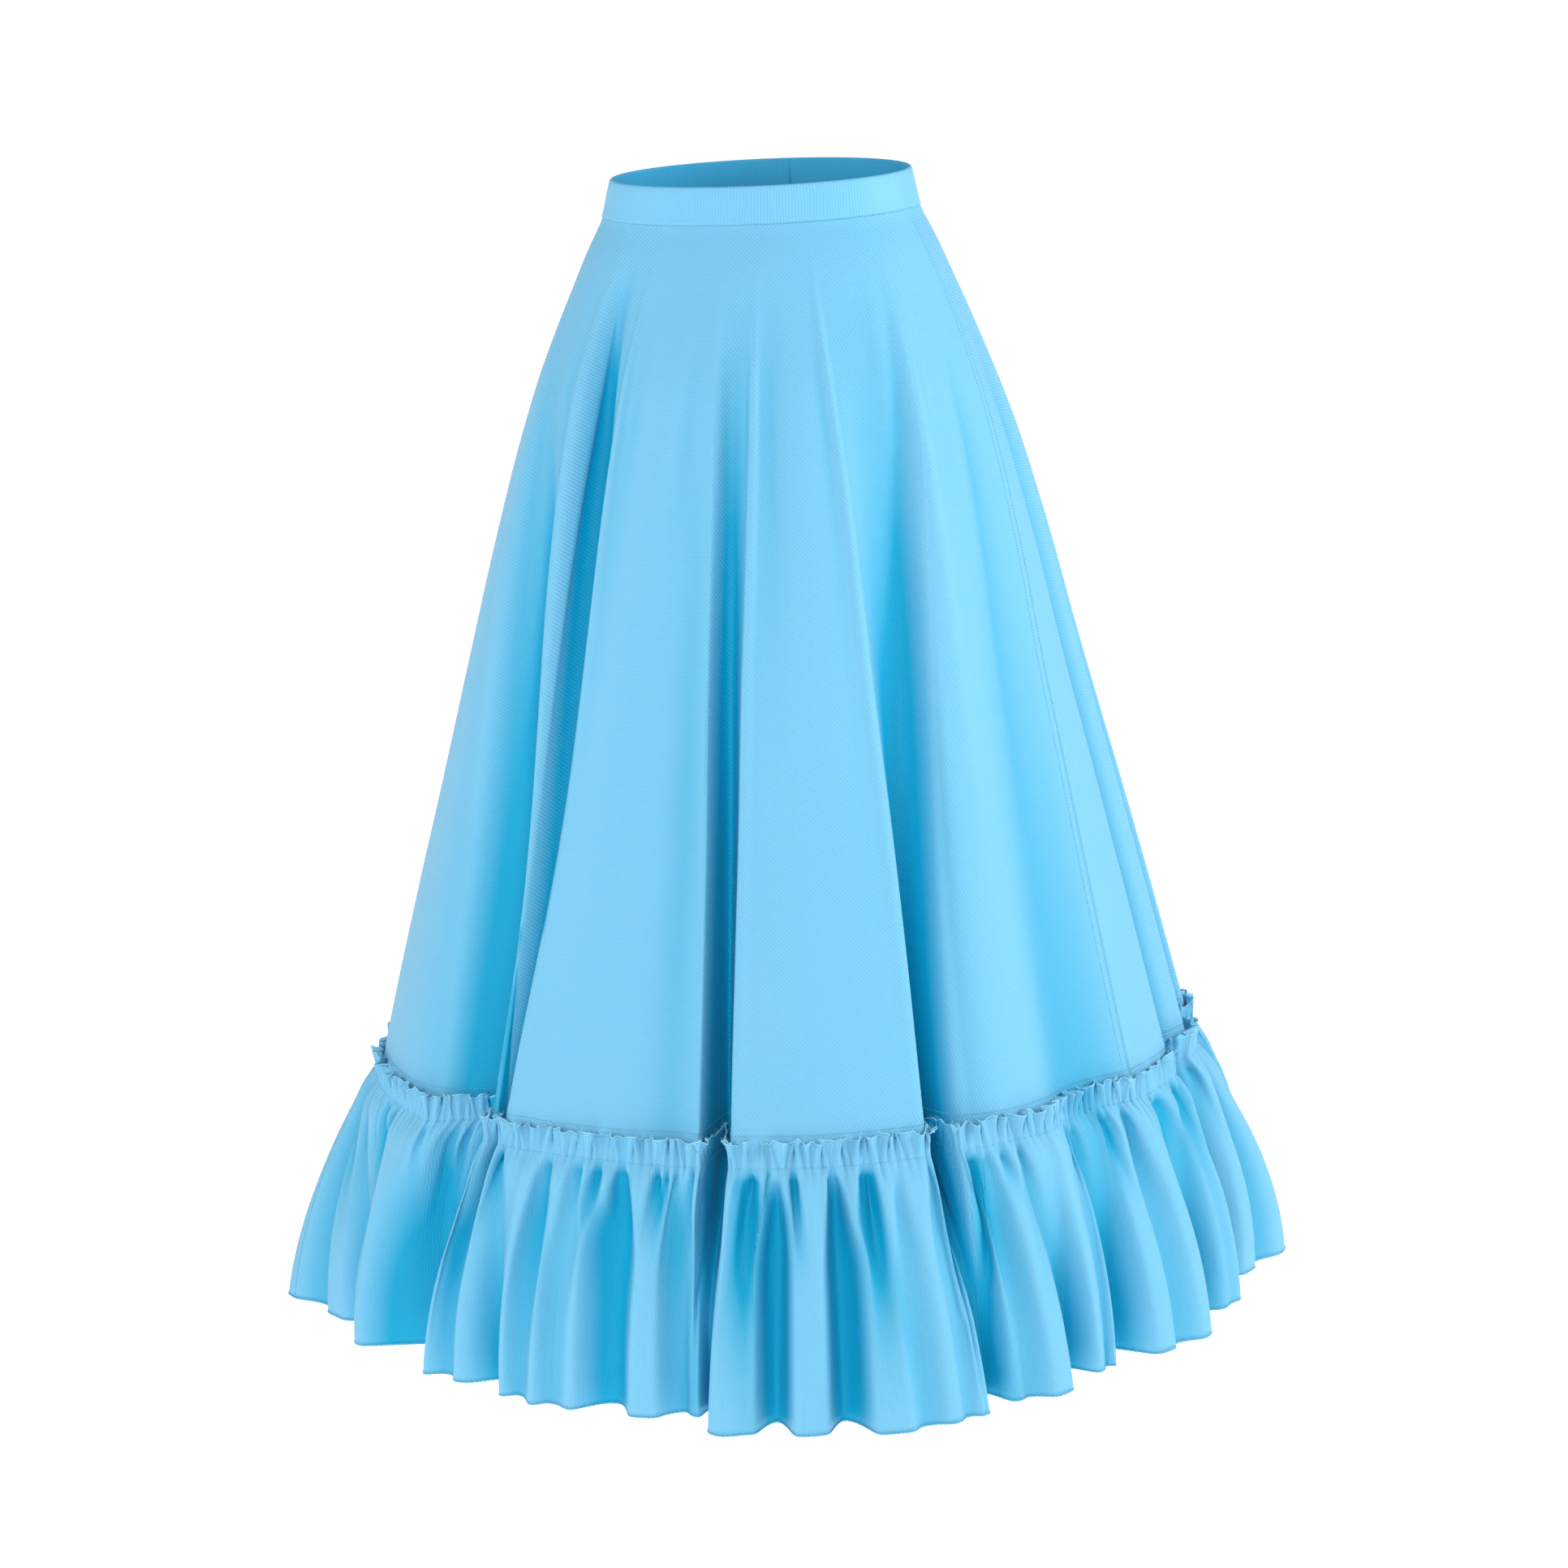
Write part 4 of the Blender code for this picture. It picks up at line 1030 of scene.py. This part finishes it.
def panel_uv(points):
    """Places on the flat cut of a flared panel, a sector of a ring, in metres.

    A column's angle from the middle is its length along its row over the row's distance from the
    sector's apex. That distance grows with the length down the cloth.
    """
    step = np.linalg.norm(np.diff(points, axis=1), axis=2)
    along = np.concatenate([np.zeros((len(points), 1)), np.cumsum(step, axis=1)], axis=1)
    along = along - along[:, -1:] / 2
    middle = points[:, points.shape[1] // 2]
    down = travelled(middle)
    width = along[:, -1] * 2
    spread = (width[-1] - width[0]) / down[-1]
    radius = (width[0] / spread + down)[:, None]
    angle = along / radius
    return np.stack([radius * np.sin(angle), -radius * np.cos(angle)], axis=2)


def strip_uv(points):
    """Places on the flat cut of a gathered strip: along by the hem's length, down by the fall."""
    along = travelled(points[-1])
    down = travelled(points[:, points.shape[1] // 2])
    return np.stack(np.broadcast_arrays(along[None, :], -down[:, None]), axis=2)


# Sewing


def repeated_faces(count, rings, sides):
    """Faces of many small tubes, each of so many rings with so many points."""
    one = grid_faces(rings, sides, True)
    return (one[None] + (np.arange(count) * rings * sides)[:, None, None]).reshape(-1, 4)


def stitches(name, line, outward, material, kind):
    """A row of thread stitches along a line: small humps, each a tapered tube sunk at its ends.

    Each stitch has four rings of five points and lies along the line, turned by the slant.
    """
    pitch, length, slant = kind
    count = int(travelled(line)[-1] / pitch)
    middle = (np.arange(count) + 0.5) * pitch
    centre = at_lengths(middle, line, line)
    out = directions(at_lengths(middle, line, outward))
    before, after = (at_lengths(middle + step, line, line) for step in (-pitch / 2, pitch / 2))
    ahead = directions(after - before)
    beside = np.cross(ahead, out)
    along = ahead * np.cos(slant) + beside * np.sin(slant)
    across = beside * np.cos(slant) - ahead * np.sin(slant)
    reach = np.array([-0.5, -0.28, 0.28, 0.5]) * length
    lift = np.array([-1.0, 0.55, 0.55, -1.0]) * THREAD
    thick = np.array([0.4, 1.0, 1.0, 0.4]) * THREAD
    turn = np.arange(5) * 2 * np.pi / 5
    rise = lift[:, None] + thick[:, None] * np.cos(turn)
    rings = (
        centre[:, None, None]
        + along[:, None, None] * reach[None, :, None, None]
        + out[:, None, None] * rise[None, :, :, None]
        + across[:, None, None] * (thick[:, None] * np.sin(turn))[None, :, :, None]
    )
    piece = new_piece(name, rings, repeated_faces(count, 4, 5), material)
    piece.data.validate()
    return piece


def rolled_edge(name, line, radius, material):
    """A rolled and overcast edge: a thin tube along a line, with a small ridge for each thread.

    The radius swells once for each thread of the overcasting, which leans along the edge.
    """
    length = travelled(line)[-1]
    count = int(length / EDGE_RING)
    places = np.linspace(0, length, count)
    centre = at_lengths(places, line, line)
    along = directions(np.gradient(centre, axis=0))
    across = directions(np.cross(along, UP))
    over = np.cross(across, along)
    turn = np.arange(EDGE_SIDES) * 2 * np.pi / EDGE_SIDES
    ridge = np.sin(2 * np.pi * places[:, None] / EDGE_THREAD + turn[None, :])
    size = radius * (1 + EDGE_RELIEF * ridge)
    rings = (
        centre[:, None]
        + across[:, None] * (size * np.cos(turn))[:, :, None]
        + over[:, None] * (size * np.sin(turn))[:, :, None]
    )
    cap = np.arange(EDGE_SIDES)
    caps = [cap[::-1].tolist(), ((count - 1) * EDGE_SIDES + cap).tolist()]
    return new_piece(name, rings, grid_faces(count, EDGE_SIDES, True), material, caps=caps)


def frayed_edge(name, line, outward, material):
    """Loose fibres along a raw edge: short thin tubes that lean and bend at random, but steadily.

    A fibre starts on the edge, goes up and out at its own angles, and bends by the square of its
    length. Its three sides taper to the tip.
    """
    number = np.arange(int(travelled(line)[-1] / FRAY_PITCH))
    places = (number + uneven(number, 11)) * FRAY_PITCH
    root = at_lengths(places, line, line)
    out = at_lengths(places, line, outward)
    across = np.cross(out, UP)
    lean = (uneven(number, 12) - 0.35)[:, None]
    side = (2 * uneven(number, 13) - 1)[:, None]
    turn_side = (2 * uneven(number, 14) - 1)[:, None]
    length = between(FRAY_LENGTHS, uneven(number, 15) ** 2)
    along = np.linspace(0, 1, 4)
    run = (length[:, None] * along)[:, :, None]
    heading = (UP + out * lean + across * side)[:, None]
    bend = ((out * side - across * turn_side) * FRAY_BEND)[:, None]
    spine = root[:, None] + heading * run + bend * run * along[:, None]
    thick = FRAY_THICK * np.array([1.0, 0.9, 0.7, 0.25])
    turn = np.arange(3) * 2 * np.pi / 3
    rings = (
        spine[:, :, None]
        + out[:, None, None] * (thick[:, None] * np.cos(turn))[None, :, :, None]
        + across[:, None, None] * (thick[:, None] * np.sin(turn))[None, :, :, None]
    )
    return new_piece(name, rings, repeated_faces(len(number), 4, 3), material)


# Materials


class Nodes:
    """Short ways to add and join shader nodes of one material."""

    def __init__(self, name):
        self.material = bpy.data.materials.new(name)
        self.material.use_nodes = True
        self.tree = self.material.node_tree
        self.shader = self.tree.nodes["Principled BSDF"]

    def add(self, kind, **settings):
        node = self.tree.nodes.new(kind)
        for name, value in settings.items():
            setattr(node, name, value)
        return node

    def join(self, output, socket):
        self.tree.links.new(output, socket)

    def math(self, operation, *values):
        node = self.add("ShaderNodeMath", operation=operation)
        for socket, value in zip(node.inputs, values):
            if isinstance(value, (int, float)):
                socket.default_value = value
            else:
                self.join(value, socket)
        return node.outputs[0]

    def mix(self, share, first, second):
        node = self.add("ShaderNodeMix", data_type="RGBA")
        for number, value in ((0, share), (6, first), (7, second)):
            socket = node.inputs[number]
            if isinstance(value, (int, float)):
                socket.default_value = value
            elif isinstance(value, tuple):
                socket.default_value = (*value, 1.0)
            else:
                self.join(value, socket)
        return node.outputs[2]

    def noise(self, vector, scale, detail=2.0):
        node = self.add("ShaderNodeTexNoise")
        node.inputs["Scale"].default_value = scale
        node.inputs["Detail"].default_value = detail
        self.join(vector, node.inputs["Vector"])
        return node.outputs["Fac"]


def threads_of(made, weave, pitch, u, v, uv):
    """Height of the woven threads, as a wave from -1 to 1 over the cloth's UV map."""
    turns = 2 * np.pi / pitch

    def wave(place, share=1.0):
        return made.math("SINE", made.math("MULTIPLY", place, turns * share))

    if weave != "twill":
        scale, bend = WEAVE_BENDS[weave]
        bent = made.math("MULTIPLY", made.noise(uv, scale), pitch * bend)
        return wave(made.math("ADD", u, bent))
    one = made.math("MULTIPLY", wave(made.math("ADD", u, v), 0.7071), 0.62)
    other = made.math("MULTIPLY", wave(made.math("SUBTRACT", u, v), 0.7071), 0.38)
    turned = made.add("ShaderNodeAttribute", attribute_name="level_grain").outputs["Fac"]
    kept = made.math("MULTIPLY", made.math("ADD", one, other), made.math("SUBTRACT", 1.0, turned))
    level = made.math("MULTIPLY", wave(v, 1.5), made.math("MULTIPLY", turned, 0.5))
    return made.math("ADD", kept, level)


def cloth_finish(name, weave, pitch, relief, grain):
    """Sky-blue satin cloth: a woven relief in its UV map, painted shade deeper in the folds, sheen.

    The weave is twill, which is a strong and a weak diagonal wave, with level waves where the cloth
    says so, or crepe, which is fine upright threads with noise, or rib, which is upright waves.
    """
    made = Nodes(name)
    uv = made.add("ShaderNodeUVMap", uv_map="cloth").outputs[0]
    parts = made.add("ShaderNodeSeparateXYZ")
    made.join(uv, parts.inputs[0])
    threads = threads_of(made, weave, pitch, parts.outputs[0], parts.outputs[1], uv)
    rough = made.math("MULTIPLY", made.noise(uv, 1400.0, 3.0), grain)
    height = made.math("ADD", made.math("MULTIPLY", threads, 0.5), rough)
    bump = made.add("ShaderNodeBump")
    bump.inputs["Strength"].default_value = 1.0
    bump.inputs["Distance"].default_value = relief
    made.join(height, bump.inputs["Height"])
    made.join(bump.outputs[0], made.shader.inputs["Normal"])
    # Painted shade: the painted fold shade share mixes the base colour toward the deep blue
    depth = made.add("ShaderNodeAttribute", attribute_name="painted_fold_shade").outputs["Fac"]
    base_tone = made.mix(made.math("MULTIPLY", depth, SHADE_PAINT_MOST), LIT_BLUE, SHADE_AND_DYE_BLUE)
    low_threads = made.math("ADD", made.math("MULTIPLY", threads, -0.5), 0.5)
    base_tone = made.mix(made.math("MULTIPLY", low_threads, WEAVE_SHADE), base_tone, SHADE_AND_DYE_BLUE)
    cloud = made.math("MULTIPLY", made.noise(uv, 9.0), CLOUD_SHADE)
    made.join(made.mix(cloud, base_tone, SHADE_AND_DYE_BLUE), made.shader.inputs["Base Color"])
    made.shader.inputs["Roughness"].default_value = 0.46
    made.shader.inputs["Specular IOR Level"].default_value = 0.14
    made.shader.inputs["Sheen Weight"].default_value = 0.05
    made.shader.inputs["Sheen Roughness"].default_value = 0.4
    made.shader.inputs["Sheen Tint"].default_value = SHEEN_WHITE
    return made.material


def thread_finish(name, blue):
    """Sewing thread: one blue that turns deeper with a fine twist."""
    made = Nodes(name)
    place = made.add("ShaderNodeTexCoord").outputs["Object"]
    twist = made.noise(place, 900.0)
    base_tone = made.mix(made.math("MULTIPLY", twist, THREAD_SHADE), blue, SHADE_AND_DYE_BLUE)
    made.join(base_tone, made.shader.inputs["Base Color"])
    made.shader.inputs["Roughness"].default_value = 0.45
    return made.material


def floor_finish():
    """Plain pale floor."""
    made = Nodes("pale_floor")
    place = made.add("ShaderNodeTexCoord").outputs["Object"]
    tone = made.mix(made.math("MULTIPLY", made.noise(place, 2.0), 0.02), FLOOR_WHITE, FLOOR_SHADE)
    made.join(tone, made.shader.inputs["Base Color"])
    made.shader.inputs["Roughness"].default_value = 0.9
    made.shader.inputs["Emission Color"].default_value = (1.0, 1.0, 1.0, 1.0)
    made.shader.inputs["Emission Strength"].default_value = FLOOR_GLOW
    return made.material


# Pieces


def waistband(material):
    """The waistband's cloth: a strip folded over the elastic, as a wall with an arched section.

    Its section goes up the outside, over the fold in a half circle and down the inside, and back
    one cloth thickness further in. The section is carried round the waist's ellipse.
    """
    over = np.linspace(0, np.pi, 9)
    straight = np.linspace(BAND_HEIGHT, BAND_HALF, 12)[:-1]
    outside = np.ones(len(straight))
    walls = []
    for half, order in ((BAND_HALF, 1), (BAND_HALF - BAND_CLOTH, -1)):
        drop = np.concatenate([straight, BAND_HALF - half * np.sin(over), straight[::-1]])
        offset = half * np.concatenate([outside, np.cos(over), -outside])
        walls.append(np.stack([drop, offset])[:, ::order])
    drop, offset = np.concatenate(walls, axis=1)
    rounded = BAND_ROUND * np.sin(np.pi * np.clip(drop / BAND_HEIGHT, 0, 1)) * np.sign(offset)
    bearing = np.linspace(-180, 180, BAND_COLUMNS, endpoint=False)
    angle = np.radians(bearing)[:, None]
    half_width, half_depth, shift = ring(drop)
    out_x = half_depth * np.sin(angle)
    out_y = -half_width * np.cos(angle)
    size = np.hypot(out_x, out_y)
    join = np.exp(-(((bearing - BAND_JOIN) / BAND_JOIN_WIDTH) ** 2))[:, None]
    reach = offset + rounded - join * SEAM_DIP * np.sign(offset)
    x = shift + half_width * np.sin(angle) + out_x / size * reach
    y = -half_depth * np.cos(angle) + out_y / size * reach
    points = np.stack([x, y, -drop - waist_tilt(angle, drop)], axis=2)
    around, section = points.shape[:2]
    here = np.arange(around)[:, None] * section
    beyond = (np.arange(around)[:, None] + 1) % around * section
    place = np.arange(section)[None, :]
    after = (place + 1) % section
    corners = [here + place, beyond + place, beyond + after, here + after]
    faces = np.stack(corners, axis=2).reshape(-1, 4)
    piece = new_piece("waistband_cloth_loop", points, faces, material)
    along = travelled(points[:, 0])
    uv = np.stack(np.broadcast_arrays(along[:, None], -drop[None, :]), axis=2)
    give_uv(piece.data, faces, uv.reshape(-1, 2))
    # Painted shade on the inside of the band, through the painted fold shade attribute
    inside = np.where(offset < 0, BAND_INSIDE_SHADE, 0.0)
    give_share(piece.data, "painted_fold_shade", np.tile(inside, around))
    return piece


def piece_part(points, first, count):
    """A run of columns out of rows of closed lines, with both its end columns."""
    columns = np.arange(first, first + count + 1) % points.shape[1]
    return points[:, columns]


def walked(row, end):
    """Lengths along a row from one of its ends, with the places there, as two arrays."""
    order = np.arange(len(row)) if end == 0 else np.arange(len(row))[::-1]
    return travelled(row[order]), order.astype(float)


def picked(row, column):
    """The point of a row at a place between two of its columns."""
    low = int(np.floor(column))
    share = column - low
    return row[low] * (1 - share) + row[min(low + 1, len(row) - 1)] * share


def build_body():
    """Front and back of the body, by node: each piece with its grids of points and of normals."""
    cloth = cloth_finish("body_cloth_finish", *BODY_WEAVE)
    grids = body_surface()
    body = {}
    for name, first, count in (
        ("front_panel", 0, FRONT_COLUMNS),
        ("back_panel", FRONT_COLUMNS, BACK_COLUMNS),
    ):
        part, out, painted_shade, level = (piece_part(grid, first, count) for grid in grids)
        piece = shell(name + "_draped", part, out, BODY_CLOTH, panel_uv(part), painted_shade, cloth)
        give_share(piece.data, "level_grain", np.tile(level.ravel(), 2))
        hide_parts(name)
        body[name] = (piece, part, out)
    return body


def build_flounce():
    """Front and back of the flounce, by node: each piece with its grids of points and normals."""
    cloth = cloth_finish("flounce_cloth_finish", *FLOUNCE_WEAVE)
    grids = flounce_surface()
    front_count = GATHERS_FRONT * COLUMNS_PER_GATHER
    back_count = GATHERS_BACK * COLUMNS_PER_GATHER
    flounce = {}
    for name, first, count in (
        ("front_flounce", 0, front_count),
        ("back_flounce", front_count, back_count),
    ):
        part, out, painted_shade = (piece_part(grid, first, count) for grid in grids)
        piece = shell(name + "_gathered", part, out, FLOUNCE_CLOTH, strip_uv(part), painted_shade, cloth)
        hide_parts(name)
        flounce[name] = (piece, part, out)
    return flounce


def sew_body(body, seam_thread):
    """Stitches above the frill on front and back, and beside both side seams on the front."""
    above_frill = int(np.argmin(np.abs(body_drops() - (SEAM_DROP - HEADING_HEIGHT - ABOVE_FRILL))))
    trims = {}
    for name, (piece, part, out) in body.items():
        row = part[above_frill] + out[above_frill] * BODY_CLOTH / 2
        trims[name] = [
            stitches(name + "_frill_stitches", row, out[above_frill], seam_thread, FRILL_STITCH),
        ]
    piece, part, out = body["front_panel"]
    face = part + out * BODY_CLOTH / 2
    rows = slice(TOPSTITCH_FROM, above_frill)
    for side, end in (("left", -1), ("right", 0)):
        columns = [np.interp(TOPSTITCH_OFF, *walked(row, end)) for row in face]
        line, outward = (
            np.stack([picked(row, column) for row, column in zip(grid, columns)])[rows]
            for grid in (face, out)
        )
        seam = stitches("side_seam_stitches_" + side, line, outward, seam_thread, SIDE_STITCH)
        trims["front_panel"].append(seam)
    return trims


def sew_flounce(flounce, thread, seam_thread, fibres):
    """Gathering stitches, rolled hem, and the heading's raw edge with its loose fibres."""
    gathered = int(np.argmin(np.abs(flounce_shares())))
    trims = {}
    for name, (piece, part, out) in flounce.items():
        row = part[gathered] + out[gathered] * FLOUNCE_CLOTH / 2
        sewn = name + "_gathering_stitches"
        trims[name] = [
            stitches(sewn, row, out[gathered], seam_thread, GATHERING_STITCH),
            rolled_edge(name + "_rolled_hem", part[-1], HEM_ROLL, thread),
            rolled_edge(name + "_heading_edge", part[0], EDGE_ROLL, fibres),
            frayed_edge(name + "_heading_fray", part[0], out[0], fibres),
        ]
    return trims


def build():
    """Makes all pieces of cloth and thread, hides the solids they cover, and attaches each to the
    root.
    """
    band = waistband(cloth_finish("waistband_cloth_finish", *BAND_WEAVE))
    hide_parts("waistband")
    body = build_body()
    flounce = build_flounce()
    thread = thread_finish("sewing_thread", THREAD_BLUE)
    seam_thread = thread_finish("seam_thread", SEAM_BLUE)
    fibres = thread_finish("loose_fibres", FIBRE_BLUE)
    trims = sew_body(body, seam_thread) | sew_flounce(flounce, thread, seam_thread, fibres)

    cloths = [band] + [row[0] for row in [*body.values(), *flounce.values()]]
    sewn = [piece for parts in trims.values() for piece in parts]
    for piece in cloths + sewn:
        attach(piece, "root")


# Studio


def set_up(name, data, right, up, back, place):
    """A camera or light at a place in the scene, turned so that its three axes lie as given."""
    stood = bpy.data.objects.new(name, data)
    matrix = np.eye(4)
    matrix[:3] = np.stack([right, up, back, place], axis=1)
    stood.matrix_world = Matrix(matrix.tolist())
    bpy.context.scene.collection.objects.link(stood)
    return stood


def camera():
    """The photo's camera: it stands at its azimuth, looks down by its pitch and is rolled a bit."""
    azimuth, pitch, roll = np.radians([PHOTO_AZIMUTH, PHOTO_PITCH, PHOTO_ROLL])
    level = np.array([-np.sin(azimuth), np.cos(azimuth), 0.0])
    place = PHOTO_HEIGHT * UP - PHOTO_DISTANCE * level
    ahead = level * np.cos(pitch) - UP * np.sin(pitch)
    right = np.array([np.cos(azimuth), np.sin(azimuth), 0.0])
    up = np.cross(right, ahead)
    turned_right = right * np.cos(roll) - up * np.sin(roll)
    turned_up = right * np.sin(roll) + up * np.cos(roll)
    data = bpy.data.cameras.new("photo_camera")
    data.lens = PHOTO_LENS
    data.sensor_width = PHOTO_SENSOR
    data.shift_x = PHOTO_SHIFT
    data.clip_start = NEAREST_SEEN
    eye = set_up("photo_camera", data, turned_right, turned_up, -ahead, place)
    bpy.context.scene.camera = eye


def soft_light(name, azimuth, elevation, distance, size, power):
    """A square area light that looks at the skirt's middle from an azimuth and an elevation."""
    a, e = np.radians([azimuth, elevation])
    back = np.array([np.sin(a) * np.cos(e), -np.cos(a) * np.cos(e), np.sin(e)])
    right = np.array([np.cos(a), np.sin(a), 0.0])
    data = bpy.data.lights.new(name, "AREA")
    data.energy = power
    data.size = size
    set_up(name, data, right, np.cross(back, right), back, np.array(LIGHT_AIM) + back * distance)


def studio():
    """A plain pale floor, a white surround and soft lights from both sides."""
    turn = np.linspace(0, 2 * np.pi, FLOOR_SIDES, endpoint=False)
    reach = np.array(FLOOR_REACH)[:, None]
    level = np.array(FLOOR_RISE)[:, None] - FLOOR_DROP + 0 * turn
    corners = np.stack([reach * np.sin(turn), -reach * np.cos(turn), level], axis=2)
    faces = grid_faces(len(FLOOR_REACH), FLOOR_SIDES, True)
    floor = new_piece("pale_floor", corners, faces, floor_finish(), False)
    world = bpy.data.worlds.new("white_surround")
    world.use_nodes = True
    background = world.node_tree.nodes["Background"]
    background.inputs[0].default_value = (1.0, 1.0, 1.0, 1.0)
    background.inputs[1].default_value = SURROUND
    bpy.context.scene.world = world
    for name, beside, *others in SOFTBOXES:
        soft_light(name, PHOTO_AZIMUTH + beside, *others)
    bpy.context.scene.view_settings.view_transform = "Standard"


camera()
build()
studio()
